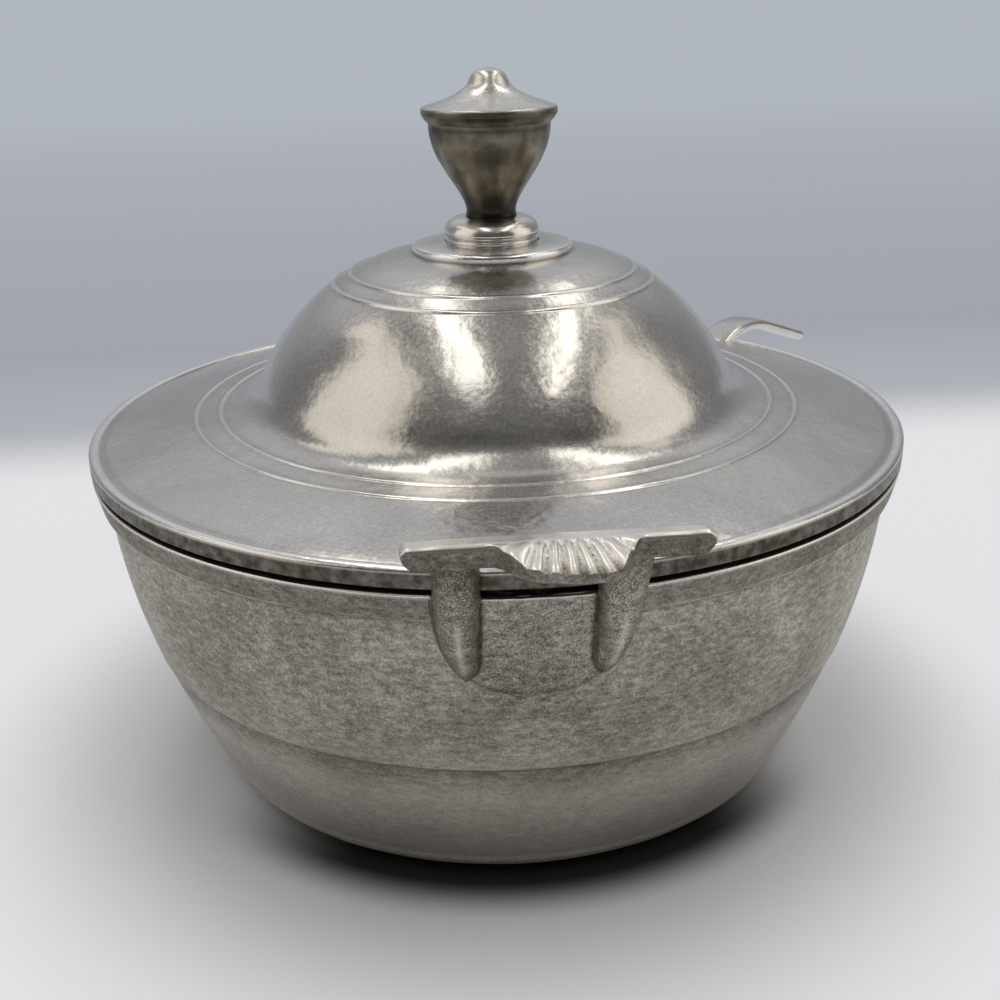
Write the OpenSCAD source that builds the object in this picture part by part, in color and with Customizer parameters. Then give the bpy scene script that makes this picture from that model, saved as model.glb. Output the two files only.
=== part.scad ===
// Covered soup tureen in cast, pewter-like metal, with two lug handles and a ladle.
// Millimetres, +Z up. The origin is the centre of the flat base, on the table.
// The lug handles lie on the Y axis. The ladle leans out through a notch in the lid.

/* [Bowl] */
// Height of the bowl at its rim
bowl_h = 102; // [90:1:130]
// Outer radius of the bowl at its rim
rim_r = 125; // [112:1:145]
// Thickness of the bowl's wall
wall_t = 4; // [3:0.1:5.5]
// Thickness of the bowl's floor
floor_t = 5; // [3.5:0.1:8]
// Height of the band below the rim
band_h = 8; // [5:0.5:14]
// How far the band widens from its lower edge up to the rim
band_flare = 1.9; // [0.5:0.1:4]
// How far the band stands out from the wall below it
band_step = 2.1; // [0.8:0.1:3]
// Straight part of the wall's lean, from band to base
wall_lean = 6; // [2:0.5:12]
// Curved part of the wall's lean, from band to base
wall_belly = 23; // [12:0.5:30]
// Height of the faint turned step on the wall
step_z = 46; // [35:1:60]
// Depth of the faint turned step
step_in = 0.6; // [0.2:0.1:1.2]
// Width of the rounded corner under the wall
foot_round = 16; // [8:0.5:22]
// Height of the rounded corner under the wall
corner_h = 8; // [4:0.5:14]

/* [Lid] */
// Shadow gap between the lid's edge and the rim
lid_gap = 1.4; // [0.8:0.1:2.5]
// Height of the lid's side face
edge_h = 4.2; // [1.5:0.1:6]
// Width of the rounded bead round the lid's edge
bead_w = 3.7; // [2:0.1:5]
// Height of the bead over the side face
bead_h = 1.2; // [0.6:0.1:2]
// Rise of the flange from the bead to the foot of the dome
flange_rise = 7.3; // [4:0.1:16]
// How much the flange flattens towards the dome
flange_curve = 1.4; // [1:0.05:2]
// Thickness of the lid
lid_t = 3; // [2:0.1:4]
// Radius of the dome at its foot
dome_r = 75.5; // [64:0.5:84]
// Height of the dome over its foot
dome_h = 46.4; // [36:0.2:60]
// Width of the hollow curve between flange and dome
cove_w = 6; // [3:0.5:9]
// Distance of the inner flange ring from the foot of the dome
ring_in_off = 10; // [9.5:0.1:13]
// Distance of the outer flange ring from the foot of the dome
ring_out_off = 17.5; // [15:0.1:24]
// Radius of the lower ring on the dome
dome_ring_low_r = 50; // [48:0.5:56]
// Radius of the upper ring on the dome
dome_ring_high_r = 44; // [36:0.5:46]
// Radius of the fine raised rings' section
ring_tube = 0.8; // [0.5:0.05:1.2]
// Radius of the raised disc under the knob
disc_r = 23; // [19:0.5:32]
// Height of the raised disc's edge
disc_step = 0.6; // [0.5:0.1:2.5]
// Thickness of the lid under the knob
web_t = 2.5; // [2:0.1:3.5]
// Width of the seat that rests on the rim
seat_w = 2.5; // [1.5:0.1:3.5]
// Height of the locating skirt below the rim
skirt_h = 5; // [3:0.5:8]
// Thickness of the locating skirt
skirt_t = 2.5; // [1.5:0.1:3.5]

/* [Knob] */
// Radius of the collar under the knob
collar_r = 14.6; // [12:0.1:18]
// Height of the collar
collar_h = 8.7; // [5:0.1:12]
// Radius of the knob's neck
neck_r = 7.5; // [6:0.1:9]
// Radius of the knob's foot on the collar
knob_foot_r = 9; // [8:0.1:10]
// Height of the knob's foot and neck
neck_h = 2; // [1:0.1:6]
// Height of the urn from the neck to the lip
urn_h = 24.6; // [20:0.2:32]
// Radius of the urn below the lip
urn_r = 18.1; // [15:0.1:20]
// Radius of the knob's lip
lip_r = 20.2; // [18.5:0.1:24]
// Height of the knob's lip
lip_h = 5; // [3:0.1:7]
// Height of the cap over the lip
cap_h = 6.5; // [4:0.1:10]
// Radius of the rounded tip
tip_r = 5.2; // [3:0.1:6]
// Height of the rounded tip
tip_h = 4.2; // [3:0.1:6]

/* [Knob screw] */
// Radius of the screw's shank
screw_r = 2.5; // [2:0.1:3]
// Radius of the screw's head
head_r = 4.75; // [4.2:0.05:6]
// Height of the screw's head
head_h = 3.2; // [2:0.1:4]
// Depth of thread in the knob
thread_depth = 16; // [10:0.5:24]
// Outer radius of the washer
washer_r = 8; // [6.5:0.1:9]
// Thickness of the washer
washer_t = 1.2; // [0.8:0.1:2]

/* [Handles] */
// Half length of the grip bar
bar_half = 35.6; // [30:0.2:42]
// Thickness of the grip bar
bar_t = 6; // [4:0.1:8]
// Depth of the grip bar
bar_depth = 5.2; // [4:0.1:6]
// Radius of the bar's lower corners
bar_round = 4.4; // [2:0.1:5.5]
// How far the bar's front face stands out from the rim
grip_reach = 10; // [9.5:0.5:16]
// Height of the bar's top over the rim
bar_rise = 17.8; // [14:0.2:24]
// Half width of the pad on the bowl's wall
pad_half = 25.5; // [23:0.5:30]
// Drop of the pad below the rim
pad_drop = 30.5; // [28:0.5:40]
// Thickness of the pad
pad_t = 1.3; // [0.8:0.1:2.5]
// Half of the finger gap between the legs
finger_half = 13.5; // [10:0.5:15]
// How far the legs and their pad sit to the left of the bar's middle
leg_shift = 3.7; // [0:0.1:5]
// How far the shell sits to the right of the bar's middle
shell_shift = 1.5; // [0:0.1:4]
// How much each leg narrows towards its front, on each side
leg_draft = 1.2; // [0.4:0.1:2]
// Half width of the shell where its outline is halfway out
shell_half = 13.3; // [11:0.1:16]
// How far the shell's lip stands out from the bar's front face
shell_reach = 12; // [8:0.5:16]
// How far the shell droops at the middle of its lip
shell_droop = 3; // [1:0.2:5]
// Depth of the grooves between the shell's petals
flute_h = 1; // [0.3:0.1:1.5]
// Number of the shell's petals, with those that run out on its flanks
flutes = 9; // [7:2:13]

/* [Ladle] */
// Direction of the ladle and the lid's notch, in degrees from +X towards +Y
ladle_az = 40; // [30:1:60]
// Outer radius of the ladle's cup
cup_r = 37; // [28:0.5:40]
// Depth of the ladle's cup, outside
cup_h = 34; // [26:0.5:40]
// Thickness of the cup's wall
cup_t = 2; // [1.4:0.1:3]
// Place of the cup, measured from the bowl's axis towards the notch
cup_off = -8; // [-20:1:4]
// Thickness of the ladle's handle
strip_t = 4; // [3:0.1:5]
// Width of the ladle's handle at its hooked end
strip_w = 13; // [9:0.5:15]
// Width of the ladle's handle at its neck
strip_neck_w = 9; // [7:0.5:11]
// Width of the ladle's handle where it meets the cup
strip_root_w = 16; // [12:0.5:20]
// Slope of the handle over the rim, in degrees
rim_slope = 34; // [26:1:40]
// Slope of the handle at the cup, in degrees
root_slope = 40; // [34:1:60]
// Bend radius of the hook
hook_r = 35; // [20:1:50]
// Downward slope of the hook's tip, in degrees
hook_drop = 19; // [5:1:40]
// Length of the hook's straight tip
hook_tip = 33; // [15:1:45]
// How far the lid's notch reaches in from the bowl's mouth
notch_depth = 8; // [7:0.5:12]
// Radius of the notch's inner corners
notch_round = 4; // [2:0.5:5]

/* [Clearances] */
// Room between the ladle's handle and the sides of the notch
notch_gap = 2.5; // [1.5:0.1:4]
// Room between the locating skirt and the bowl's mouth
skirt_gap = 0.8; // [0.4:0.1:1.5]
// Room between the lid's path and the handles
lid_clear = 2; // [1:0.1:3]
// Solder gap of the handles on the bowl and of the ladle's handle on its cup
solder_gap = 0.1; // [0.05:0.05:0.2]
// Room under the ladle's cup and handle where they rest
rest_gap = 0.3; // [0.2:0.05:0.6]
// Room between the washer and its seat in the lid
washer_gap = 0.1; // [0.05:0.05:0.2]
// Room round the screw in the lid, collar and washer
bolt_gap = 0.25; // [0.15:0.05:0.5]
// Room round the screw in the knob
thread_gap = 0.05; // [0.03:0.01:0.08]

/* [Hidden] */
$fn = 128;
eps = 0.01;
// How far a cutting shape runs past the face that it cuts
cut = 1;

// Steps along a turned curve, along a short turned curve and round a swept section
curve_steps = 24;
round_steps = 8;
section_steps = 16;

bowl_colour = [0.55, 0.54, 0.51];
lid_colour = [0.68, 0.69, 0.69];
knob_colour = [0.45, 0.43, 0.40];
steel_colour = [0.72, 0.72, 0.72];

// Bowl
band_z = bowl_h - band_h;
wall_top_r = rim_r - band_flare - band_step;
mouth_r = wall_top_r - wall_t;

// Radius of the smooth wall at a height, and of its outside with the turned step
function wall_curve(z) =
    let (u = (band_z - z) / band_z)
    wall_top_r - wall_lean * u - wall_belly * u * u;
function wall_r(z) = wall_curve(z) - (z < step_z ? step_in : 0);

foot_r = wall_r(corner_h) - foot_round;

// Quarter of an ellipse from the flat base up to the wall
function corner(r0, z0, width, height) =
    [for (i = [0:round_steps]) let (a = 90 * i / round_steps)
        [r0 + width * sin(a), z0 + height * (1 - cos(a))]];

// Heights up the wall, with both edges of the turned step
function wall_heights(low) = concat(
    [for (i = [1:curve_steps]) let (z = low + (step_z - low) * i / curve_steps)
        if (z < step_z - eps) z],
    [step_z - eps, step_z + step_in],
    [for (i = [1:curve_steps]) let (z = step_z + step_in + (band_z - step_z - step_in) * i / curve_steps)
        if (z < band_z - eps) z]);

function bowl_outside(grow) = concat(
    corner(foot_r + grow, 0, foot_round, corner_h),
    [for (z = wall_heights(corner_h)) [wall_r(z) + grow, z]],
    [[wall_top_r + grow, band_z],
     [wall_top_r + band_step + grow, band_z],
     [rim_r + grow, bowl_h]]);

function bowl_inside() =
    let (low = floor_t + corner_h)
    concat(
        corner(wall_curve(low) - wall_t - foot_round, floor_t, foot_round, corner_h),
        [for (i = [1:curve_steps]) let (z = low + (band_z - low) * i / curve_steps)
            [wall_curve(z) - wall_t, z]],
        [[mouth_r, bowl_h]]);

// Lid
lid_r = rim_r;
lid_z = bowl_h + lid_gap;
edge_z = lid_z + edge_h;
flange_r = lid_r - bead_w;
dome_z = edge_z + bead_h / 2 + flange_rise;
// Exponents of the dome's section: how square its shoulder is and how full its crown
dome_squareness = 2.8;
dome_fullness = 1.3;
// Share of the dome's height that the cove reaches, and of the lid's thickness that it sinks by inside
cove_top = 0.13;
cove_sink = 0.6;
// Share of a fine ring's section that lies below the surface
ring_sink = 0.35;
disc_round = 0.4;
boss_edge = 1.5;

function flange_z(r) =
    dome_z - flange_rise * pow((r - dome_r) / (flange_r - dome_r), flange_curve);

// Radius of a dome at a share t of its height, and the height at a radius
function dome_at(radius, t) = radius * pow(max(0, 1 - pow(t, dome_fullness)), 1 / dome_squareness);
function dome_height(radius, height, r) =
    height * pow(1 - pow(r / radius, dome_squareness), 1 / dome_fullness);

seat_z = dome_z + dome_height(dome_r, dome_h, disc_r) + disc_step;
washer_seat_z = seat_z - web_t;
washer_z = washer_seat_z - washer_gap - washer_t;
boss_r = washer_r + boss_edge;

// Points on a circle from one angle to another
function arc(centre, radius, from, to) =
    [for (i = [0:round_steps]) let (a = from + (to - from) * i / round_steps)
        centre + radius * [cos(a), sin(a)]];

// Quadratic curve through the corner point b
function bend(a, b, c, steps) =
    [for (i = [0:steps]) let (t = i / steps)
        (1 - t) * (1 - t) * a + 2 * t * (1 - t) * b + t * t * c];

function bead() =
    [for (i = [0:round_steps]) let (a = 180 * i / round_steps)
        [lid_r - bead_w / 2 + bead_w / 2 * cos(a), edge_z + bead_h * sin(a)]];

// From the flange over the cove to the dome, moved in by the lid's thickness when drop is set
function lid_curve(from_r, drop, end_r) =
    let (radius = dome_r - drop,
         height = dome_h - drop,
         cove_r = dome_r + cove_w,
         start = cove_top * height,
         end = dome_height(radius, height, end_r))
    concat(
        [for (i = [0:curve_steps - 1])
            let (r = from_r + (cove_r - from_r) * i / curve_steps)
            [r, flange_z(r) - drop]],
        bend([cove_r, flange_z(cove_r) - drop], [radius, dome_z - drop * cove_sink],
             [dome_at(radius, cove_top), dome_z + start], round_steps),
        [for (i = [1:curve_steps])
            let (z = start + (end - start) * sin(90 * i / curve_steps))
            [dome_at(radius, z / height), dome_z + z]]);

skirt_r = mouth_r - skirt_gap;
seat_out_r = mouth_r + seat_w;
skirt_in_r = skirt_r - skirt_t;

function reversed(list) = [for (i = [len(list) - 1:-1:0]) list[i]];

// Knob stack
collar_z = seat_z;
knob_z = collar_z + collar_h;
neck_z = knob_z + neck_h;
lip_z = neck_z + urn_h;
cap_z = lip_z + lip_h;
tip_z = cap_z + cap_h;
// Room past the screw's end in the knob
thread_end = 1;
// Exponents of the urn's flare and swelling and of the cap's hollow curve
urn_rise = 1.5;
urn_swell = 2.3;
cap_hollow = 2.4;
// Exponent that squares the tip's round end
tip_square = 0.7;
// Shares of the lip's height where its underside turns out and where it ends
lip_turn = 0.35;
lip_low = 0.5;
lip_round = 0.5;
// Share of the neck's height where the foot's curve turns
foot_turn = 0.4;
// Slot in the screw's head
slot_w = 0.8;
slot_d = 1.2;

function urn_at(t) = neck_r + (urn_r - neck_r) * (1 - pow(1 - pow(t, urn_rise), urn_swell));
function cap_at(t) = tip_r + (lip_r - tip_r) * pow(1 - t, cap_hollow);

// Handles
bar_front_r = rim_r + grip_reach;
bar_back_r = bar_front_r - bar_depth;
bar_top_z = bowl_h + bar_rise;
bar_low_z = bar_top_z - bar_t;
bar_top_round = 1;
pad_low_z = bowl_h - pad_drop;
// Exponent of the pad's U-shaped outline
pad_roundness = 2.5;
// Foot of the legs over the pad's lower edge, and how far they run up into the bar
leg_lift = 6;
leg_sink = 1;
leg_low_z = pad_low_z + leg_lift;
leg_top_z = bar_low_z + leg_sink;
// Setting back of a leg from the pad's edge and from the bar's front face
leg_inset = 0.6;
leg_set_back = 0.5;
// Exponent of the leg front curve, its least width, rounding of its front edges, and its levels
leg_bulge = 1.8;
leg_least_w = 2;
leg_round = 4.2;
leg_round_share = 0.8;
leg_levels = 12;
// Height over which the foot of a leg is rounded off
leg_tip_h = 7;
// Height over the wall at which a leg has its full draft
leg_draft_run = 6;
// The shell's hub inside the bar, its root's half width, and how steeply its ogee outline falls
hub_sink = 1;
shell_hub_r = bar_back_r + hub_sink;
shell_hub = bar_front_r - shell_hub_r;
shell_root = 1.4 * shell_half;
shell_ogee = 8;
// The outline's ends lie a little inside the bar's front face
shell_end = 1;
// Share of its width that the shell keeps at the hub
shell_fan = 0.75;
flute_steps = 6;
shell_columns = flutes * flute_steps;
shell_rows = 6;
// Where the grooves start behind the bar's front face, and the length over which they deepen
flute_start = 1.5;
flute_run = 4;
// Depth of the shell's top under the bar's, height of its underside over the bar's, and the lip's lean
shell_sink = 0.15;
shell_lift = 0.5;
lip_lean = 0.7;
droop_bend = 1.4;

function shell_ahead(x) =
    (shell_reach + shell_end) / (1 + pow(abs(x) / shell_half, shell_ogee)) - shell_end;

function pad_half_at(z) =
    let (s = min(1, max(0, (bowl_h - z) / pad_drop)))
    pad_half * pow(1 - pow(s, pad_roundness), 1 / pad_roundness);

// Ladle
cup_z = floor_t + rest_gap;
cup_top_z = cup_z + cup_h;
// Above 1 the cup has a small flat to stand on
cup_roundness = 1.03;
strip_over_rim = strip_t / 2 / cos(rim_slope) + rest_gap;
// The handle starts inside the cup's wall, a little below its lip
root_sink = 1.5;
root_drop = 3;
root_point = [cup_off + cup_r - root_sink, cup_top_z - root_drop];
rim_point = [mouth_r, bowl_h + strip_over_rim];
hook_turn = rim_slope + hook_drop;
hook_centre = rim_point + hook_r * [sin(rim_slope), -cos(rim_slope)];
root_steps = 14;
hook_steps = 12;
tip_steps = 6;
// Share of the inner stretch that the flare at the cup takes, and the least width of the round tip
neck_share = 0.3;
tip_least = 0.2;
// Exponents that square the handle's section across and flatten it up and down
section_square = 0.5;
section_flat = 0.7;
// Floor of the cup, as a share of its wall
cup_floor = 1.3;

function cup_outside(grow) =
    [for (i = [0:curve_steps]) let (t = sin(90 * i / curve_steps), s = (1 - t) / cup_roundness)
        [cup_r * sqrt(1 - s * s) + grow, cup_h * t]];

function cup_inside() =
    let (low = cup_t * cup_floor, height = cup_h - low)
    [for (i = [0:curve_steps]) let (t = sin(90 * i / curve_steps), s = 1 - t)
        [(cup_r - cup_t) * sqrt(1 - s * s), low + height * t]];

// Cubic from the cup's wall to the rim, leaving at one slope and arriving at the other
function root_curve(t) =
    let (reach = norm(rim_point - root_point) / 3,
         b = root_point + reach * [cos(root_slope), sin(root_slope)],
         c = rim_point - reach * [cos(rim_slope), sin(rim_slope)],
         u = 1 - t)
    u * u * u * root_point + 3 * u * u * t * b + 3 * u * t * t * c + t * t * t * rim_point;

function hook_curve(angle) = hook_centre + hook_r * [-sin(angle), cos(angle)];

strip_path = concat(
    [for (i = [0:root_steps - 1]) root_curve(i / root_steps)],
    [for (i = [0:hook_steps - 1]) hook_curve(rim_slope - hook_turn * i / hook_steps)],
    [for (i = [0:tip_steps]) let (s = hook_tip * sin(90 * i / tip_steps))
        hook_curve(-hook_drop) + s * [cos(hook_drop), -sin(hook_drop)]]);
strip_last = len(strip_path) - 1;

// Width along the handle: flared at the cup, narrow at the neck, wide and round at the tip
function strip_width(i) =
    let (t = i / root_steps,
         to_tip = hook_tip * (1 - sin(90 * max(0, i - root_steps - hook_steps) / tip_steps)),
         root = t < neck_share ? (strip_root_w - strip_neck_w) * pow(1 - t / neck_share, 2) : 0,
         body = strip_neck_w + (strip_w - strip_neck_w) * min(1, t),
         half = strip_w / 2,
         tip = to_tip < half ? max(tip_least, sqrt(1 - pow(1 - to_tip / half, 2))) : 1)
    (root + body) * tip;

function direction(list, i) =
    let (d = list[min(i + 1, len(list) - 1)] - list[max(i - 1, 0)])
    d / norm(d);

// Rounded section of the handle, square to its path, in the ladle's own plane
function strip_ring(i) =
    let (p = strip_path[i], d = direction(strip_path, i), half = strip_width(i) / 2)
    [for (k = [0:section_steps - 1])
        let (a = 360 * (k + 0.5) / section_steps,
             across = half * sign(cos(a)) * pow(abs(cos(a)), section_square),
             up = strip_t / 2 * sign(sin(a)) * pow(abs(sin(a)), section_flat))
        [p[0] - d[1] * up, across, p[1] + d[0] * up]];

notch_r = mouth_r - notch_depth;
notch_half = strip_w / 2 + notch_gap;

// A closed skin through rings of points, each with the same number of points
module loft(rings) {
    n = len(rings[0]);
    last = len(rings) - 1;
    sides = [for (j = [0:last - 1], i = [0:n - 1])
        let (a = j * n + i, b = j * n + (i + 1) % n)
        each [[a, b + n, b], [a, a + n, b + n]]];
    caps = [[for (i = [0:n - 1]) i], [for (i = [n - 1:-1:0]) last * n + i]];
    polyhedron([for (ring = rings) each ring], concat(sides, caps));
}

module turned(profile) {
    rotate_extrude() polygon(profile);
}

module fine_ring(r, z) {
    rotate_extrude() translate([r, z]) circle(ring_tube, $fn = 24);
}

module bowl() {
    color(bowl_colour) difference() {
        turned(concat([[0, 0]], bowl_outside(0), [[0, bowl_h]]));
        turned(concat([[0, floor_t]], bowl_inside(), [[mouth_r, bowl_h + cut], [0, bowl_h + cut]]));
    }
}

// Everything that the handles stay clear of: the bowl, and the lid's way up
module handle_limit() {
    top = bar_top_z + cut;
    turned(concat([[0, -cut], [foot_r, -cut]], bowl_outside(solder_gap),
        [[lid_r + lid_clear, bowl_h], [lid_r + lid_clear, top], [0, top]]));
}

module handle_pad() {
    outline = [for (i = [-curve_steps:curve_steps])
        let (a = 90 * i / curve_steps)
        [pad_half * sign(a) * pow(abs(sin(a)), 2 / pad_roundness) - leg_shift,
         bowl_h - pad_drop * pow(cos(a), 2 / pad_roundness)]];
    intersection() {
        turned([[wall_r(pad_low_z) - wall_t / 2, pad_low_z],
                [wall_r(pad_low_z) + pad_t, pad_low_z],
                [rim_r + pad_t, bowl_h],
                [mouth_r + wall_t / 2, bowl_h]]);
        rotate([90, 0, 0]) linear_extrude(bar_front_r) polygon(outline);
    }
}

// One leg: a round-fronted tongue from the bar down to the pad
module handle_leg() {
    rings = [for (j = [0:leg_levels])
        let (u = j / leg_levels,
             z = leg_low_z + (leg_top_z - leg_low_z) * u,
             low_r = wall_r(leg_low_z),
             front = low_r + (bar_front_r - leg_set_back - low_r) * (1 - pow(1 - u, leg_bulge)),
             back = z < bowl_h ? wall_r(min(z, band_z)) - 2 * wall_t : mouth_r,
             outer = pad_half_at(z) - leg_inset,
             rise = min(1, (z - leg_low_z) / leg_tip_h),
             tip_x = pad_half_at(leg_low_z) - leg_inset - leg_least_w,
             inner = finger_half + (tip_x - finger_half) * (1 - sqrt(1 - pow(1 - rise, 2))),
             mid = (inner + outer) / 2,
             half = (outer - inner) / 2,
             tip = half - leg_draft * min(1, (front - low_r) / leg_draft_run),
             round = min(tip * leg_round_share, leg_round))
        [[mid - half, -back, z],
         for (i = [0:round_steps / 2]) let (a = 180 * i / round_steps)
            [mid - tip + round * (1 - sin(90 - a)), -(front - round * (1 - sin(a))), z],
         for (i = [round_steps / 2:-1:0]) let (a = 180 * i / round_steps)
            [mid + tip - round * (1 - sin(90 - a)), -(front - round * (1 - sin(a))), z],
         [mid + half, -back, z]]];
    loft(rings);
}

// Grip bar: its front outline, with rounder corners below than above
module handle_bar() {
    right = concat(
        arc([bar_half - bar_round, bar_round], bar_round, -90, 0),
        arc([bar_half - bar_top_round, bar_t - bar_top_round], bar_top_round, 0, 90));
    left = [for (p = reversed(right)) [-p[0], p[1]]];
    rotate([90, 0, 0]) translate([0, bar_low_z, bar_back_r]) linear_extrude(bar_depth)
        polygon(concat(right, left));
}

// Fluted shell: petals fan out from a hub inside the bar to a lip with an ogee outline
module handle_shell() {
    rings = [for (j = [0:shell_columns])
        let (x = shell_root * (2 * j / shell_columns - 1),
             turn = 2 * (j % flute_steps) / flute_steps - 1,
             length = shell_hub + shell_ahead(x))
        [for (i = [0:2 * shell_rows + 1])
            let (top = i <= shell_rows,
                 s = (top ? i : 2 * shell_rows + 1 - i) / shell_rows,
                 out = s * (top ? length : length - lip_lean),
                 past = max(0, out - shell_hub) / shell_reach,
                 deep = min(1, max(0, (out - shell_hub + flute_start) / flute_run)),
                 groove = flute_h * turn * turn * deep,
                 high = bar_top_z - shell_sink - shell_droop * pow(past, droop_bend) - groove)
            [x * (shell_fan + (1 - shell_fan) * s),
             -(shell_hub_r + out),
             top ? high : bar_low_z + shell_lift]]];
    loft(rings);
}

module lug_handle() {
    color(bowl_colour) difference() {
        union() {
            handle_pad();
            translate([-leg_shift, 0, 0]) handle_leg();
            translate([-leg_shift, 0, 0]) mirror([1, 0, 0]) handle_leg();
            handle_bar();
            translate([shell_shift, 0, 0]) handle_shell();
        }
        handle_limit();
    }
}

module front_handle() {
    lug_handle();
}

module rear_handle() {
    rotate([0, 0, 180]) lug_handle();
}

module notch_outline() {
    side = notch_half - notch_round;
    polygon(concat(
        arc([notch_r + notch_round, side], notch_round, 90, 180),
        arc([notch_r + notch_round, -side], notch_round, 180, 270),
        [[lid_r + cut, -notch_half], [lid_r + cut, notch_half]]));
}

module lid() {
    top = concat([[lid_r, lid_z], [lid_r, edge_z]], bead(), lid_curve(flange_r, 0, disc_r),
        [[disc_r, seat_z - disc_round], [disc_r - disc_round, seat_z], [0, seat_z]]);
    under = concat([[seat_out_r, lid_z], [seat_out_r, bowl_h], [skirt_r, bowl_h],
        [skirt_r, bowl_h - skirt_h], [skirt_in_r, bowl_h - skirt_h]],
        lid_curve(skirt_in_r, lid_t, boss_r), [[boss_r, washer_seat_z], [0, washer_seat_z]]);
    color(lid_colour) difference() {
        union() {
            turned(concat(top, reversed(under)));
            for (r = [dome_r + ring_in_off, dome_r + ring_out_off])
                fine_ring(r, flange_z(r) - ring_tube * ring_sink);
            for (r = [dome_ring_low_r, dome_ring_high_r])
                fine_ring(r, dome_z + dome_height(dome_r, dome_h, r) - ring_tube * ring_sink);
        }
        cylinder(h = seat_z + cut, r = screw_r + bolt_gap);
        ladle_place() linear_extrude(dome_z) notch_outline();
    }
}

module knob() {
    turn = [neck_r, knob_z + neck_h * foot_turn];
    foot = bend([knob_foot_r, knob_z], turn, [neck_r, neck_z], round_steps);
    urn = [for (i = [1:curve_steps]) [urn_at(i / curve_steps), neck_z + urn_h * i / curve_steps]];
    lip = [[lip_r - lip_round, lip_z + lip_h * lip_turn],
           [lip_r, lip_z + lip_h * lip_low],
           [lip_r, cap_z - lip_round]];
    cap = [for (i = [0:curve_steps]) let (t = i / curve_steps)
        [cap_at(t) - lip_round * (1 - t), cap_z + cap_h * t]];
    tip = [for (i = [1:round_steps]) let (a = 90 * i / round_steps)
        [tip_r * pow(cos(a), tip_square), tip_z + tip_h * sin(a)]];
    color(knob_colour) difference() {
        turned(concat([[0, knob_z]], foot, urn, lip, cap, tip));
        translate([0, 0, knob_z - cut])
            cylinder(h = thread_depth + thread_end + cut, r = screw_r + thread_gap);
    }
}

module knob_collar() {
    tube = collar_h / 2;
    color(lid_colour) difference() {
        translate([0, 0, collar_z]) {
            cylinder(h = collar_h, r = collar_r - tube);
            rotate_extrude() translate([collar_r - tube, tube]) circle(tube);
        }
        cylinder(h = knob_z + cut, r = screw_r + bolt_gap);
    }
}

module knob_washer() {
    color(steel_colour) translate([0, 0, washer_z]) difference() {
        cylinder(h = washer_t, r = washer_r);
        translate([0, 0, -cut]) cylinder(h = washer_t + 2 * cut, r = screw_r + bolt_gap);
    }
}

module knob_screw() {
    head_z = washer_z - head_h;
    color(steel_colour) difference() {
        union() {
            translate([0, 0, head_z]) cylinder(h = head_h, r = head_r);
            translate([0, 0, head_z]) cylinder(h = knob_z + thread_depth - head_z, r = screw_r);
        }
        translate([-head_r - cut, -slot_w / 2, head_z - cut])
            cube([2 * (head_r + cut), slot_w, slot_d + cut]);
    }
}

module ladle_place() {
    rotate([0, 0, ladle_az]) children();
}

module ladle_cup() {
    color(lid_colour) ladle_place() translate([cup_off, 0, cup_z]) difference() {
        turned(concat([[0, 0]], cup_outside(0), [[0, cup_h]]));
        turned(concat(cup_inside(), [[cup_r - cup_t, cup_h + cut], [0, cup_h + cut]]));
    }
}

module ladle_handle() {
    color(lid_colour) ladle_place() difference() {
        loft([for (i = [0:strip_last]) strip_ring(i)]);
        translate([cup_off, 0, cup_z])
            turned(concat([[0, 0]], cup_outside(solder_gap), [[0, cup_h]]));
    }
}

bowl();
front_handle();
rear_handle();
lid();
knob();
knob_collar();
knob_screw();
knob_washer();
ladle_cup();
ladle_handle();
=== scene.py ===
"""A covered soup tureen in cast, pewter-like metal, with lug handles and a ladle: its looks."""
import math

import bmesh
import bpy
import numpy as np
from mathutils import Matrix, Vector


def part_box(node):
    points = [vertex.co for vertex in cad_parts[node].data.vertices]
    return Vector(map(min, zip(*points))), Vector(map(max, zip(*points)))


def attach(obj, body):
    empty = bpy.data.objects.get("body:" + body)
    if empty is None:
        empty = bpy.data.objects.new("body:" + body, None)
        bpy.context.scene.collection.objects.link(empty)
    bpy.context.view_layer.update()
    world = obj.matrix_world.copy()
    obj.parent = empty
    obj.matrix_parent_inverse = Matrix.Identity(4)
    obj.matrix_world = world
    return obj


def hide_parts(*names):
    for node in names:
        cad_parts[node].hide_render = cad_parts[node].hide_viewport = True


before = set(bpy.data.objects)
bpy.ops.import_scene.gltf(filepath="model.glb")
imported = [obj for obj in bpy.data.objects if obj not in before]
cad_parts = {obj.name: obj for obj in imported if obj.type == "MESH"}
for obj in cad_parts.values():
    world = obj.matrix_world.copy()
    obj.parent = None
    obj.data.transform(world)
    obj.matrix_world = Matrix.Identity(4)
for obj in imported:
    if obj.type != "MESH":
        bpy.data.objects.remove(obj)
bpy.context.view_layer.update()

MM = 0.001


def low_z(node):
    """A node's lowest height, in millimetres."""
    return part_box(node)[0].z / MM


def high_z(node):
    """A node's highest height, in millimetres."""
    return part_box(node)[1].z / MM


# All sizes below are in millimetres, and follow the names in the part's source.
# Bowl
RIM_Z = high_z("bowl")
RIM_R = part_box("bowl")[1].x / MM
WALL_T = 4.0
FLOOR_T = 5.0
BAND_H = 8.0
BAND_FLARE = 1.9
BAND_STEP = 2.1
WALL_LEAN = 6.0
WALL_BELLY = 23.0
STEP_Z = 46.0
STEP_IN = 0.6
FOOT_ROUND = 16.0
CORNER_H = 8.0
BAND_Z = RIM_Z - BAND_H
WALL_TOP_R = RIM_R - BAND_FLARE - BAND_STEP
MOUTH_R = WALL_TOP_R - WALL_T
# Shallow turned recess under the base
RECESS_R = 66.0
RECESS_H = 0.8
RECESS_EDGE = 2.0

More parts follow.
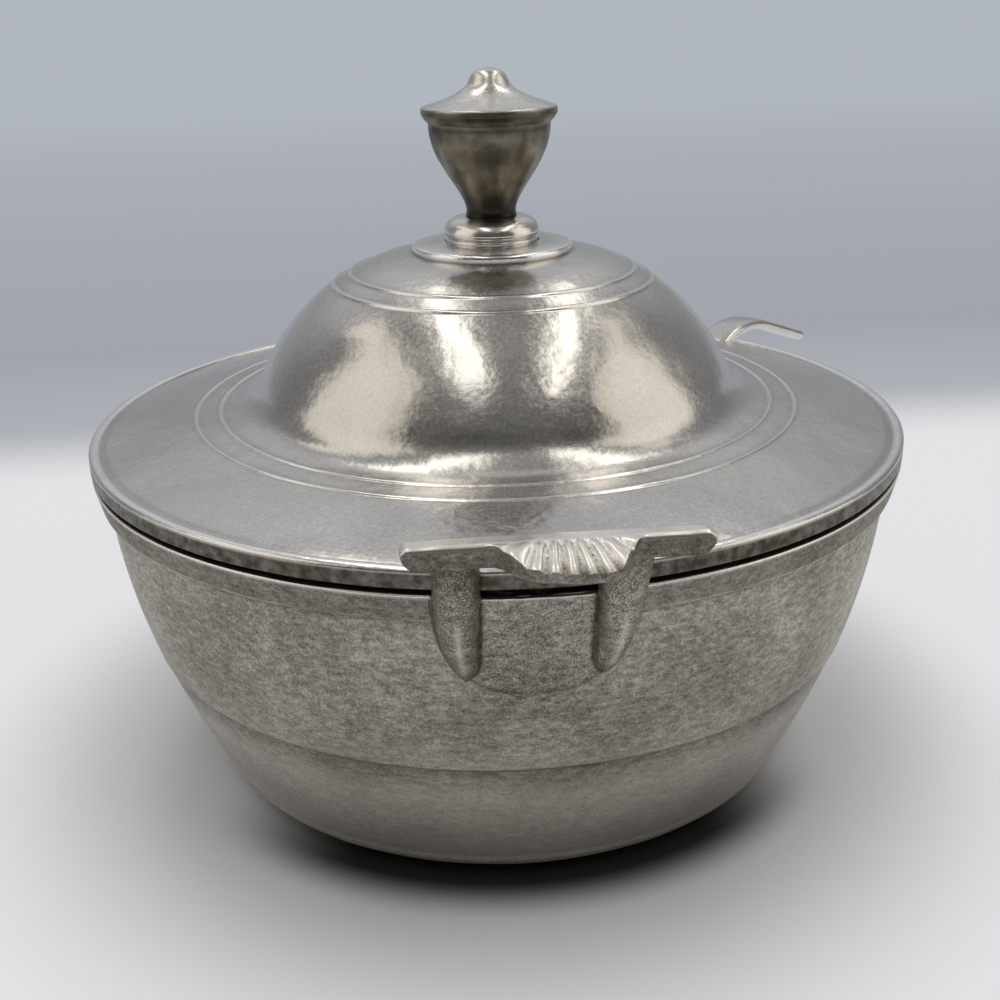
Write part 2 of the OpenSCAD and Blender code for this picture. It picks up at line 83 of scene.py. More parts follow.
# Lid
LID_R = RIM_R
LID_Z = RIM_Z + 1.4
EDGE_Z = LID_Z + 4.2
BEAD_W = 3.7
BEAD_H = 1.2
BEAD_SWEEP = math.radians(158.0)
FLANGE_RISE = 7.3
FLANGE_CURVE = 1.4
LID_T = 3.0
DOME_R = 75.5
DOME_H = 46.4
DOME_SQUARENESS = 2.8
DOME_FULLNESS = 1.3
COVE_W = 8.5
COVE_TOP = 0.17
COVE_SINK = 0.6
RINGS = (DOME_R + 17.5, DOME_R + 10.0, 48.6, 43.4)
RING_H = 0.36
RING_HALF = 0.9
# Raised plate round the collar: its radius, the heights of its edge and middle over the collar's
# seat, the room it leaves the collar, and the depth and radius of the dome's dip round it
PLATE_R = 24.3
PLATE_EDGE = 0.6
PLATE_RISE = 1.6
PLATE_ROOM = 0.12
PLATE_DIP = 0.8
PLATE_DIP_R = 36.0
WEB_T = 2.5
SEAT_W = 2.5
SKIRT_GAP = 0.8
SKIRT_T = 2.5
SKIRT_LOW_Z = low_z("lid")
BOSS_R = 9.5
BOLT_R = 2.75
FLANGE_R = LID_R - BEAD_W
DOME_Z = EDGE_Z + BEAD_H / 2 + FLANGE_RISE
SEAT_Z = low_z("knob_collar")

# Knob
COLLAR_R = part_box("knob_collar")[1].x / MM
COLLAR_FOOT_R = COLLAR_R - 0.5
KNOB_Z = low_z("knob")
KNOB_TOP_Z = high_z("knob")
NECK_R = 7.5
NECK_H = 2.0
URN_H = 24.6
URN_R = 18.1
LIP_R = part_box("knob")[1].x / MM
LIP_H = 5.0
CAP_H = 6.5
TIP_R = 6.2
TIP_H = 4.2
CAP_TAPER = 3.4
# How much the knob's tip narrows over its height
TIP_TAPER = 1.9
THREAD_R = 2.55
THREAD_DEPTH = 17.0

# Handles
BAR_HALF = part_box("front_handle")[1].x / MM
BAR_T = 6.0
BAR_DEPTH = 5.2
BAR_ROUND = 4.4
BAR_TOP_Z = high_z("front_handle")
BAR_LOW_Z = BAR_TOP_Z - BAR_T
BAR_FRONT_R = RIM_R + 10.0
BAR_BACK_R = BAR_FRONT_R - BAR_DEPTH
# The legs and their pad sit to the left of the bar's middle, and the shell a little to the right
LEG_SHIFT = -3.7
SHELL_SHIFT = 1.5
PAD_HALF = 25.5
PAD_DROP = 30.5
PAD_T = 1.3
PAD_ROUNDNESS = 2.5
# How squarely the pad's front meets its sides
PAD_EDGE = 9
PAD_LOW_Z = RIM_Z - PAD_DROP
FINGER_HALF = 13.5
LEG_LOW_Z = PAD_LOW_Z + 6.0
LEG_TOP_Z = BAR_LOW_Z + 1.0
LEG_INSET = 0.6
LEG_BULGE = 2.0
LEG_CROWN = 2.1
LEG_TIP_H = 7.0
LEG_TIP_T = 1.2
LEG_TIP_SHARE = 0.06
# How far the right leg widens outwards below the bar, and how far below the rim that starts
LEG_FLARE = 3.2
LEG_FLARE_DROP = 6.0
LID_CLEAR_R = LID_R + 2.0
SHELL_HALF = 18.6
SHELL_LIP_R = -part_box("front_handle")[0].y / MM
SHELL_REACH = SHELL_LIP_R - BAR_FRONT_R
# Half width at which the shell's ogee outline falls to half its reach, and how steeply it falls
SHELL_WAIST = 13.3
SHELL_OGEE = 8
SHELL_DROOP = 3.1
SHELL_FAN = 0.58
PETAL_W = 4.1
PETAL_H = 1.9
PETAL_SWELL = 0.55
# Share of its reach that the shell's left side has lost by wear, and where that starts
SHELL_WORN = 0.2
SHELL_WORN_X = 2.0
# Share of its depth that a groove keeps on the worn side, and where it is worn and where full
GROOVE_LEAST = 0.3
GROOVE_WORN_X = -11.0
GROOVE_FULL_X = -6.0
# Size of the grid that joins the parts of a handle casting, and rounds of smoothing after it
CAST_GRID = 0.36
CAST_SMOOTH = 2

# Ladle
LADLE_AZ = math.radians(40.0)
CUP_R = 37.0
CUP_OFF = -8.0
CUP_T = 2.0
CUP_Z = low_z("ladle_cup")
CUP_H = high_z("ladle_cup") - CUP_Z
CUP_ROUNDNESS = 1.03
STRIP_T = 4.0
STRIP_W = 13.0
STRIP_NECK_W = 9.0
STRIP_ROOT_W = 16.0
RIM_SLOPE = math.radians(34.0)
ROOT_SLOPE = math.radians(40.0)
# Where the strip starts, inside and below the cup's rim, and its room over the bowl's rim
ROOT_IN = 1.5
ROOT_DROP = 3.0
STRIP_ROOM = 0.3
HOOK_R = 35.0
HOOK_DROP = math.radians(19.0)
HOOK_TIP = 33.0
NOTCH_R = MOUTH_R - 8.0
NOTCH_HALF = 9.0
NOTCH_ROUND = 4.0

# Hand-finished unevenness of the pieces: its depth, the length of its patches, and its seed
WEAR = {"bowl": (0.14, 26.0, 11), "handle": (0.3, 8.0, 17), "lid": (0.10, 15.0, 23),
        "knob": (0.10, 7.0, 31), "collar": (0.06, 5.0, 37), "cup": (0.10, 14.0, 41),
        "strip": (0.10, 10.0, 43)}
# Number of sides of the large and small turned pieces
TURNS = 240
SMALL_TURNS = 120
# Edges that turn by more than this stay sharp
SHARP = math.radians(38.0)


# Curves and meshes

def unit(vector):
    return vector / max(np.linalg.norm(vector), 1e-9)


def bend(one, two, three, t):
    """A point on the curve from one to three that two pulls aside."""
    return (1 - t) ** 2 * one + 2 * t * (1 - t) * two + t * t * three


def rounded(points, steps=5):
    """A path through (r, z, rounding) points, with each corner rounded over that length."""
    places = [np.array(p[:2], float) for p in points]
    path = []
    for i, point in enumerate(points):
        size = point[2] if len(point) > 2 else 0.0
        if size == 0.0 or i in (0, len(points) - 1):
            path.append(places[i])
            continue
        start = places[i] + size * unit(places[i - 1] - places[i])
        end = places[i] + size * unit(places[i + 1] - places[i])
        for t in np.linspace(0.0, 1.0, steps + 1):
            path.append(bend(start, places[i], end, t))
    return np.array(path)


def stepped(path, coarse, fine, spots, reach):
    """A path walked in coarse steps, and in fine ones within reach of the spots."""
    length = np.concatenate([[0.0], np.cumsum(np.linalg.norm(np.diff(path, axis=0), axis=1))])
    dense = np.arange(0.0, length[-1], fine / 2)
    points = np.column_stack([np.interp(dense, length, path[:, k]) for k in (0, 1)])
    close = np.zeros(len(points), bool)
    for place in spots:
        close |= np.linalg.norm(points - place, axis=1) < reach
    kept = []
    last = -coarse
    for i, s in enumerate(dense):
        if s - last >= (fine if close[i] else coarse) - 1e-6:
            kept.append(points[i])
            last = s
    kept.append(path[-1])
    return np.array(kept)


def directions(path):
    along = np.gradient(path, axis=0)
    return along / np.linalg.norm(along, axis=1)[:, None]


def ridges(path, spots):
    """Fine half-round rings raised on a path at the spots."""
    along = directions(path)
    outward = np.column_stack([along[:, 1], -along[:, 0]])
    for place in spots:
        gap = np.linalg.norm(path - place, axis=1) / RING_HALF
        height = RING_H * np.where(gap < 1, np.cos(np.minimum(gap, 1) * math.pi / 2) ** 1.5, 0)
        path = path + outward * height[:, None]
    return path


def turned(profile, turns, closed=False):
    """Points and faces of an (r, z) profile turned about Z; a point on the axis stays single."""
    angles = np.linspace(0, 2 * math.pi, turns, endpoint=False)
    points = []
    rings = []
    for r, z in profile:
        start = len(points)
        if r < 1e-6:
            rings.append([start] * turns)
            points.append((0.0, 0.0, z))
        else:
            rings.append(list(range(start, start + turns)))
            points.extend((r * math.cos(a), r * math.sin(a), z) for a in angles)
    pairs = list(zip(rings, rings[1:]))
    if closed:
        pairs.append((rings[-1], rings[0]))
    faces = []
    for one, two in pairs:
        for i in range(turns):
            j = (i + 1) % turns
            corners = [one[i], one[j], two[j], two[i]]
            faces.append(list(dict.fromkeys(corners)))
    return np.array(points), faces


def lofted(rings):
    """Points and faces of a closed skin through rings of equally many points."""
    count = len(rings[0])
    points = np.concatenate(rings)
    faces = []
    for j in range(len(rings) - 1):
        for i in range(count):
            a = j * count + i
            b = j * count + (i + 1) % count
            faces.append([a, b, b + count, a + count])
    faces.append(list(range(count)))
    faces.append(list(range((len(rings) - 1) * count, len(rings) * count)))
    return points, faces


def joined(parts):
    """Several points-and-faces parts as one."""
    points = []
    faces = []
    for part_points, part_faces in parts:
        start = sum(len(p) for p in points)
        points.append(part_points)
        faces.extend([i + start for i in face] for face in part_faces)
    return np.concatenate(points), faces


def add_object(name, data):
    obj = bpy.data.objects.new(name, data)
    bpy.context.scene.collection.objects.link(obj)
    return obj


def make_object(name, points, faces):
    """A mesh object from points in millimetres, with its faces turned outwards."""
    mesh = bpy.data.meshes.new(name)
    mesh.from_pydata([tuple(p) for p in points * MM], [], faces)
    work = bmesh.new()
    work.from_mesh(mesh)
    bmesh.ops.recalc_face_normals(work, faces=work.faces)
    work.to_mesh(mesh)
    work.free()
    return add_object(name, mesh)


def points_of(obj):
    """An object's points, in millimetres."""
    flat = np.zeros(len(obj.data.vertices) * 3)
    obj.data.vertices.foreach_get("co", flat)
    return flat.reshape(-1, 3) / MM


def normals_of(obj):
    flat = np.zeros(len(obj.data.vertices) * 3, np.float32)
    obj.data.vertex_normals.foreach_get("vector", flat)
    return flat.reshape(-1, 3).astype(float)


def bake(obj):
    """Replaces an object's mesh by what its modifiers make of it."""
    bpy.context.view_layer.update()
    shaped = obj.evaluated_get(bpy.context.evaluated_depsgraph_get())
    mesh = bpy.data.meshes.new_from_object(shaped)
    obj.modifiers.clear()
    obj.data = mesh
    mesh.name = obj.name


def field(points, length, seed, waves=36):
    """Smooth random values from -1 to 1 over points, in bumps of about that length."""
    draw = np.random.default_rng(seed)
    ways = draw.normal(size=(waves, 3))
    ways /= np.linalg.norm(ways, axis=1)[:, None]
    turns = draw.uniform(0.6, 1.5, waves) * 2 * math.pi / length
    shifts = draw.uniform(0, 2 * math.pi, waves)
    total = np.zeros(len(points))
    for way, turn, shift in zip(ways, turns, shifts):
        total += np.cos(points @ way * turn + shift)
    return np.clip(total / math.sqrt(2 * waves), -1, 1)


def wear_in(obj, depth, length, seed):
    """Sinks the surface by up to depth, in soft patches of that length."""
    points = points_of(obj)
    sink = depth * (1 + field(points, length, seed)) / 2
    points -= normals_of(obj) * sink[:, None]
    obj.data.vertices.foreach_set("co", (points * MM).ravel())
    obj.data.update()


def set_mark(obj, name, *marks):
    """Marks points polished, grimy or coarse by the strongest of marks, as (strength, where); the
    polished marks also carry painted highlight, and the grimy ones painted shade.
    """
    values = np.maximum.reduce([strength * where for strength, where in marks])
    layer = obj.data.attributes.new(name, "FLOAT", "POINT")
    layer.data.foreach_set("value", np.clip(values, 0, 1).astype(np.float32))


def near(distance, width):
    """1 at no distance, falling to nothing over about twice the width."""
    return np.exp(-(distance / width) ** 2)


def rise(value, start, end):
    """0 at start, rising to 1 at end, which may be the lower of the two."""
    return np.clip((value - start) / (end - start), 0, 1)


def finish_piece(obj, material, body, node):
    obj.data.shade_smooth()
    obj.data.set_sharp_from_angle(angle=SHARP)
    obj.data.materials.clear()
    obj.data.materials.append(material)
    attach(obj, body)
    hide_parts(node)


# Bowl

def wall_curve(z):
    """Radius of the smooth wall at a height."""
    u = (BAND_Z - z) / BAND_Z
    return WALL_TOP_R - WALL_LEAN * u - WALL_BELLY * u * u


def wall_r(z):
    """Radius of the wall's outside at a height, with its turned step."""
    return wall_curve(z) - np.where(z < STEP_Z, STEP_IN, 0.0)


def quarter(start_r, start_z, count):
    """The rounded corner between a flat floor and the wall."""
    return [(start_r + FOOT_ROUND * math.sin(a), start_z + CORNER_H * (1 - math.cos(a)))
            for a in np.linspace(0, math.pi / 2, count)]


def bowl_profile():
    step_edge = 2.0
    foot_r = wall_curve(CORNER_H) - STEP_IN - FOOT_ROUND
    inner_low = FLOOR_T + CORNER_H
    inner_foot = wall_curve(inner_low) - WALL_T - FOOT_ROUND
    below = np.linspace(CORNER_H + 1, STEP_Z - step_edge, 15)
    above = np.linspace(STEP_Z + STEP_IN + step_edge, BAND_Z - step_edge, 16)
    inside = np.linspace(BAND_Z, inner_low + 1, 24)
    path = [(0, RECESS_H), (RECESS_R, RECESS_H, 1.2), (RECESS_R + RECESS_EDGE, 0, 1.0)]
    path += quarter(foot_r, 0, 16)
    path += [(wall_curve(z) - STEP_IN, z) for z in below]
    path += [(wall_curve(STEP_Z) - STEP_IN, STEP_Z, 0.5)]
    path += [(wall_curve(STEP_Z + STEP_IN), STEP_Z + STEP_IN, 0.4)]
    path += [(wall_curve(z), z) for z in above]
    path += [(WALL_TOP_R, BAND_Z, 0.8), (WALL_TOP_R + BAND_STEP, BAND_Z, 0.9)]
    path += [(WALL_TOP_R + BAND_STEP + BAND_FLARE * share, BAND_Z + BAND_H * share)
             for share in np.linspace(0.16, 0.82, 9)]
    path += [(RIM_R, RIM_Z, 0.8), (RIM_R - 1.4, RIM_Z), (RIM_R - 2.2, RIM_Z), (MOUTH_R, RIM_Z, 1.0)]
    path += [(wall_curve(z) - WALL_T, z) for z in inside]
    path += quarter(inner_foot, FLOOR_T, 14)[::-1]
    path += [(inner_foot * share, FLOOR_T) for share in (0.75, 0.5, 0.25)]
    path += [(0, FLOOR_T)]
    return rounded(path)


def mark_bowl(bowl):
    """Bright on edges, partly polished metal and partly painted highlight; smooth and lighter low down,
    partly painted light; painted shade, partly soil, over the lid's gap, in corners, on the band and
    near the table.
    """
    x, y, height = points_of(bowl).T
    radius = np.hypot(x, y)
    inside = (radius < wall_curve(height) - WALL_T / 2) & (height > FLOOR_T / 2)
    # The rim's edge and the band's edge: bright lines, partly polished metal and partly painted
    # highlight.
    rim = near(np.hypot(radius - RIM_R + 0.3, height - RIM_Z + 0.3), 0.5)
    band_edge_sheen = near(np.hypot(radius - WALL_TOP_R - BAND_STEP, height - BAND_Z), 0.7)
    # Lighter low down, and most near the bottom: partly a finer turned finish, partly painted light
    # that brightens the dark underside.
    smoother_and_lighter = 0.36 * rise(height, STEP_Z, STEP_Z - 12) * rise(height, 1, 6)
    smoother_and_lighter += 0.2 * near(height - 10, 5.0)
    over_step = (height > STEP_Z) * near(height - STEP_Z, 8.0)
    set_mark(bowl, "polish_and_sheen", (1, rim), (0.5, band_edge_sheen), (1, smoother_and_lighter), (0.14, over_step),
             (0.45, inside))
    # Painted shade: dark on the rim's top where the lid's gap is, in the corner under the band, over
    # the band, below the turned step and near the table; below the step partly soil.
    gap_shade_on_rim = near(height - RIM_Z, 0.4) * rise(radius, RIM_R - 0.8, RIM_R - 1.4)
    shade_under_band = near(np.hypot(radius - WALL_TOP_R, height - BAND_Z + 0.4), 0.8)
    band_shade = (height > BAND_Z + 0.6) & (height < RIM_Z - 0.6) & ~inside
    shade_under_step = (height < STEP_Z + STEP_IN / 2) * near(height - STEP_Z, 5.0)
    foot = near(height, 3.5) * ~inside
    set_mark(bowl, "grime_and_shade", (0.65, gap_shade_on_rim), (0.5, shade_under_band), (0.34, band_shade), (0.22, shade_under_step),
             (0.3, foot))


def make_bowl(material):
    bowl = make_object("bowl_cast", *turned(bowl_profile(), TURNS))
    wear_in(bowl, *WEAR["bowl"])
    mark_bowl(bowl)
    finish_piece(bowl, material, "bowl_with_handles", "bowl")


# Handles

def pad_half_at(z):
    share = np.clip((RIM_Z - z) / PAD_DROP, 0, 1)
    return PAD_HALF * (1 - share ** PAD_ROUNDNESS) ** (1 / PAD_ROUNDNESS)


def pad_share(x, z):
    """0 at the middle of the pad's top edge, growing to 1 on its U-shaped outline."""
    aside = np.abs(x - LEG_SHIFT) / PAD_HALF
    down = np.clip((RIM_Z - z) / PAD_DROP, 0, None)
    return (aside ** PAD_ROUNDNESS + down ** PAD_ROUNDNESS) ** (1 / PAD_ROUNDNESS)


def outer_r(z):
    """Radius of the bowl's outside at a height, with the rim's band."""
    band = WALL_TOP_R + BAND_STEP + BAND_FLARE * (z - BAND_Z) / BAND_H
    return np.where(z < BAND_Z, wall_r(np.minimum(z, BAND_Z)), band)


def facing(radius, x, z):
    """Points on the near side of circles about the axis, at a height."""
    return np.column_stack([x, -np.sqrt(radius ** 2 - x ** 2), np.full_like(x, z)])


def handle_pad():
    """The U-shaped pad that lies on the bowl's wall."""
    low_r = wall_r(PAD_LOW_Z) + PAD_T
    sides = np.sin(np.linspace(-math.pi / 2, math.pi / 2, 61))
    rings = []
    for share in np.sin(np.linspace(0.03, math.pi / 2, 60)):
        z = PAD_LOW_Z + PAD_DROP * share
        x = LEG_SHIFT + sides * pad_half_at(z)
        front_r = low_r + (RIM_R + PAD_T - low_r) * share - PAD_T * np.abs(sides) ** PAD_EDGE
        back_r = wall_r(min(z, BAND_Z)) - WALL_T / 2
        rings.append(np.concatenate([facing(front_r, x, z), facing(back_r, x, z)[::-1]]))
    return lofted(rings)


def leg_inner(z):
    """A leg's inner edge at a height, from the middle between the legs."""
    tip_x = pad_half_at(LEG_LOW_Z) - LEG_INSET
    up = np.clip((z - LEG_LOW_Z) / LEG_TIP_H, 0, 1)
    return FINGER_HALF + (tip_x - FINGER_HALF) * (1 - np.sqrt(1 - (1 - up) ** 2))


def leg_back(z):
    """Radius of a leg's back: in the bowl's wall, and above the rim clear of the lid."""
    if z < RIM_Z - 1:
        return float(wall_r(min(z, BAND_Z))) - WALL_T / 2
    return RIM_R - 0.5 if z < RIM_Z else LID_CLEAR_R


def leg_outer(z, side):
    """A leg's outer edge at a height, from the middle between the legs."""
    flare = max(0.0, (z - RIM_Z + LEG_FLARE_DROP) / (LEG_TOP_Z - RIM_Z + LEG_FLARE_DROP)) ** 2
    return pad_half_at(z) - LEG_INSET + (LEG_FLARE * flare if side > 0 else 0.0)


def handle_leg(side):
    """One leg: a round-fronted tongue from the bar down to the pad."""
    across = np.sin(np.linspace(-math.pi / 2, math.pi / 2, 25))
    crown = (1 - np.abs(across) ** LEG_CROWN) ** (1 / LEG_CROWN)
    low_r = float(wall_r(LEG_LOW_Z)) + PAD_T / 2
    reach = BAR_FRONT_R - 0.5 - low_r
    rings = []
    for u in np.linspace(0.02, 1, 70) ** 1.6:
        z = LEG_LOW_Z + (LEG_TOP_Z - LEG_LOW_Z) * u
        tip = LEG_TIP_T * math.sqrt(min(1, u / LEG_TIP_SHARE)) * (1 - u)
        front = low_r + reach * (1 - (1 - u) ** LEG_BULGE) + tip
        base = float(outer_r(z)) if z < RIM_Z else LID_CLEAR_R
        inner = float(leg_inner(z))
        outer = leg_outer(z, side)
        x = LEG_SHIFT + side * ((inner + outer) / 2 + across * max(0.05, (outer - inner) / 2))
        foot = np.sqrt(base ** 2 - x ** 2)
        y = foot + (front - foot) * crown
        behind = np.sqrt(leg_back(z) ** 2 - x[[0, -1]] ** 2)
        x = np.concatenate([x[:1], x, x[-1:]])
        y = np.concatenate([behind[:1], y, behind[1:]])
        rings.append(np.column_stack([x, -y, np.full_like(x, z)]))
    return lofted(rings)


def handle_bar():
    """The grip bar, with rounder corners below than above and a soft front edge on top."""
    top_round = 2.2
    soft = 1.3
    front = -BAR_FRONT_R
    back = -BAR_BACK_R
    rings = []
    for x in BAR_HALF * np.sin(np.linspace(-math.pi / 2, math.pi / 2, 61)):
        low_in = max(0.0, abs(x) - (BAR_HALF - BAR_ROUND))
        top_in = max(0.0, abs(x) - (BAR_HALF - top_round))
        low = BAR_LOW_Z + BAR_ROUND - math.sqrt(max(0.0, BAR_ROUND ** 2 - low_in ** 2))
        top = BAR_TOP_Z - top_round + math.sqrt(max(0.0, top_round ** 2 - top_in ** 2))
        top = max(top, low + 0.2)
        edge = min(soft, (top - low) / 2)
        section = [(back, low), (front, low), (front, top - edge)]
        section += [(front + 0.3 * edge, top - 0.3 * edge), (front + edge, top), (back, top)]
        rings.append(np.array([(x, y, z) for y, z in section]))
    return lofted(rings)


def shell_ahead(x):
    """How far the shell stands out from the bar, at a distance from its middle."""
    ogee = 1 / (1 + np.abs(x / SHELL_WAIST) ** SHELL_OGEE)
    worn = SHELL_WORN * np.clip((SHELL_WORN_X - x) / SHELL_WAIST, 0, 1) ** 1.3
    return (SHELL_REACH + 1) * ogee * (1 - worn) - 1


def petal_dip(x):
    """0 on the crest of a petal, rising to 1 in the groove beside it."""
    turn = (x / PETAL_W + 0.5) % 1.0 * 2 - 1
    return np.abs(turn) ** 3


def groove_share(x):
    """Share of its depth that a groove keeps; the shell's left side is worn."""
    return GROOVE_LEAST + (1 - GROOVE_LEAST) * rise(x, GROOVE_WORN_X, GROOVE_FULL_X)


def handle_shell():
    """The fluted shell: petals fan out from the bar's top to an ogee-shaped lip."""
    lip_in = 0.5
    under_in = 0.6
    groove_start = -1.5
    groove_run = 4
    hub_r = BAR_BACK_R + 1
    hub = BAR_FRONT_R - hub_r
    rows = np.linspace(0, 1, 30)
    rings = []
    for x in np.linspace(-SHELL_HALF, SHELL_HALF, 241):
        dip = float(petal_dip(x)) * float(groove_share(x))
        ahead = float(shell_ahead(x))
        swell = PETAL_SWELL * (0.6 - dip) * np.clip(ahead / SHELL_REACH, 0, 1)
        out = rows * (hub + ahead + swell - lip_in)
        past = np.clip((out - hub) / SHELL_REACH, 0, 1)
        groove = PETAL_H * dip * np.clip((out - hub - groove_start) / groove_run, 0, 1)
        top = BAR_TOP_Z - 0.1 - SHELL_DROOP * past ** 1.4 - groove
        spread = SHELL_SHIFT + x * (SHELL_FAN + (1 - SHELL_FAN) * rows)
        over = np.column_stack([spread, -(hub_r + out), top])
        under_out = rows * (hub + ahead - under_in)
        below = np.column_stack([spread, -(hub_r + under_out), np.full_like(rows, BAR_LOW_Z)])
        rings.append(np.concatenate([over, below[::-1]]))
    return lofted(rings)


def make_handle_mesh():
    """The handle's parts grown together into one casting with soft inner corners."""
    parts = [handle_pad(), handle_leg(1), handle_leg(-1), handle_bar(), handle_shell()]
    handle = make_object("front_handle_cast", *joined(parts))
    remesh = handle.modifiers.new("cast", "REMESH")
    remesh.mode = "VOXEL"
    remesh.voxel_size = CAST_GRID * MM
    soften = handle.modifiers.new("soften", "SMOOTH")
    soften.factor = 0.5
    soften.iterations = CAST_SMOOTH
    bake(handle)
    return handle


def mark_handle(obj):
    """Bright on tops and edges, partly worn and partly painted highlight; painted shade, partly soil,
    in grooves and seams, along the legs, on the bar's sides and under the bar; coarse below it.
    """
    x, y, height = points_of(obj).T
    ahead = -y
    up = normals_of(obj)[:, 2]
    radius = np.hypot(x, y)
    aside = np.abs(x - LEG_SHIFT)
    inner = leg_inner(height)
    outer = pad_half_at(height)
    inward = PAD_HALF * (1 - pad_share(x, height))
    low = height < LEG_LOW_Z + 1
    on_legs = (height > LEG_LOW_Z) & (height < RIM_Z)
    # Upward faces of the bar and shell, the rim, the pad's edge and the legs' crests made bright:
    # partly worn metal, partly painted highlight and painted light from above.
    high = rise(height, BAR_LOW_Z + 2.2, BAR_LOW_Z + 3.7) * rise(up, 0.1, 0.5)
    rim = near(height - RIM_Z, 0.5) * rise(radius, RIM_R + 2, RIM_R + 1)
    pad_edge_sheen = low * near(inward - 0.4, 0.45)
    crest = rise(height, RIM_Z, RIM_Z - 8) * rise(height, LEG_LOW_Z + 2, LEG_LOW_Z + 6)
    crest = crest * near(aside - (inner + outer) / 2, 0.9)
    set_mark(obj, "polish_and_sheen", (1, high), (0.9, rim), (0.6, pad_edge_sheen), (0.45, crest))
    # Painted shade, partly soil: in the shell's grooves, where the handle meets the bowl, in the legs'
    # creases and flanks, in the pad's hollow, on the bar's sides and under the bar.
    out = rise(ahead, BAR_BACK_R + 1, SHELL_LIP_R)
    across = (x - SHELL_SHIFT) / (SHELL_FAN + (1 - SHELL_FAN) * out)
    on_shell = high * rise(ahead, BAR_FRONT_R - 1, BAR_FRONT_R + 2)
    groove = on_shell * petal_dip(across) ** 3 * groove_share(across)
    shade_at_seam = (height < RIM_Z - 1) * rise(radius - outer_r(height), 0.585, 0.135)
    shade_in_crease = on_legs * near(aside - inner, 0.6)
    shade_on_flank = on_legs * near(outer - 0.9 - aside, 0.5)
    hollow = low * near(inward - 1.6, 0.5)
    on_bar = rise(height, BAR_LOW_Z - 0.8, BAR_LOW_Z)
    shaded_bar_side = on_bar * (1 - high)
    shade_under_bar = (height < BAR_LOW_Z) * near(height - BAR_LOW_Z, 6.0)
    set_mark(obj, "grime_and_shade", (0.55, groove), (0.75, shade_at_seam), (0.75, shade_in_crease), (0.6, shade_on_flank),
             (0.35, hollow), (0.30, shaded_bar_side), (0.28, shade_under_bar))
    on_leg = rise(aside - inner, 0, 0.8) * rise(height, LEG_LOW_Z, LEG_LOW_Z + 1)
    set_mark(obj, "coarse", (1, (1 - on_bar) * (0.45 + 0.55 * on_leg)))


def make_handles(material):
    front = make_handle_mesh()
    wear_in(front, *WEAR["handle"])
    mark_handle(front)
    rear = add_object("rear_handle_cast", front.data.copy())
    rear.data.transform(Matrix.Rotation(math.pi, 4, "Z"))
    finish_piece(front, material, "bowl_with_handles", "front_handle")
    finish_piece(rear, material, "bowl_with_handles", "rear_handle")


# Lid

def flange_z(r):
    return DOME_Z - FLANGE_RISE * ((r - DOME_R) / (FLANGE_R - DOME_R)) ** FLANGE_CURVE


def dome_at(radius, share):
    return radius * max(0.0, 1 - share ** DOME_FULLNESS) ** (1 / DOME_SQUARENESS)


def dome_height(radius, height, r):
    return height * (1 - (r / radius) ** DOME_SQUARENESS) ** (1 / DOME_FULLNESS)


def lid_curve(from_r, drop, end_r):
    """From the flange over the cove to the dome, moved in by drop."""
    radius = DOME_R - drop
    height = DOME_H - drop
    cove_r = DOME_R + COVE_W
    start = COVE_TOP * height
    end = dome_height(radius, height, end_r)
    path = [(r, flange_z(r) - drop) for r in np.linspace(from_r, cove_r, 60)[:-1]]
    one = np.array([cove_r, flange_z(cove_r) - drop])
    two = np.array([radius, DOME_Z - drop * COVE_SINK])
    three = np.array([dome_at(radius, COVE_TOP), DOME_Z + start])
    for t in np.linspace(0, 1, 16):
        path.append(tuple(bend(one, two, three, t)))
    for a in np.linspace(0, math.pi / 2, 90)[1:]:
        z = start + (end - start) * math.sin(a)
        path.append((dome_at(radius, z / height), DOME_Z + z))
    return path


def plate_dip(r):
    """How far the dome sinks just outside the plate round the collar."""
    share = rise(r, PLATE_DIP_R, PLATE_R)
    return PLATE_DIP * share * share * (3 - 2 * share)


def ring_places():
    """Where the fine rings lie on the lid, as (r, z)."""
    places = [(r, flange_z(r)) for r in RINGS[:2]]
    places += [(r, DOME_Z + dome_height(DOME_R, DOME_H, r)) for r in RINGS[2:]]
    return [np.array(place) for place in places]


def mark_lid(lid):
    """Bright on rings, bead and the plate's edge, partly worn and partly painted highlight; painted
    shade, partly soil, beside them, on the side and over the gap.
    """
    x, y, height = points_of(lid).T
    radius = np.hypot(x, y)
    to_ring = np.minimum.reduce([np.hypot(radius - r, height - z) for r, z in ring_places()])
    # Painted highlight, partly worn metal: the plate's edge, the rings' crests and the bead's crest.
    plate_edge_sheen = (height > SEAT_Z - 0.8) * near(radius - PLATE_R + 0.3, 1.2)
    bead = rise(radius, FLANGE_R, FLANGE_R + 0.8) * near(height - EDGE_Z - BEAD_H, 0.5)
    set_mark(lid, "polish_and_sheen", (1, plate_edge_sheen), (1, near(to_ring, 0.55)), (1, bead))
    # Painted shade, partly soil: at the plate's foot, beside the rings, in the hollow by the bead, on
    # the side face and over the gap under the lid.
    foot_z = DOME_Z + dome_height(DOME_R, DOME_H, PLATE_R) - PLATE_DIP
    shade_at_plate_foot = near(np.hypot(radius - PLATE_R - 0.2, height - foot_z), 0.6)
    shade_in_valley = near(np.hypot(radius - FLANGE_R + 0.6, height - flange_z(FLANGE_R - 0.6)), 0.6)
    side = (radius > LID_R - 0.9) * rise(height, EDGE_Z + 0.3, EDGE_Z - 0.3)
    shade_over_gap = (radius > MOUTH_R) & (height < LID_Z + 0.3)
    set_mark(lid, "grime_and_shade", (0.5, shade_at_plate_foot), (0.15, near(to_ring - 1.2, 0.3)), (0.3, shade_in_valley),
             (0.98, side), (1, shade_over_gap))


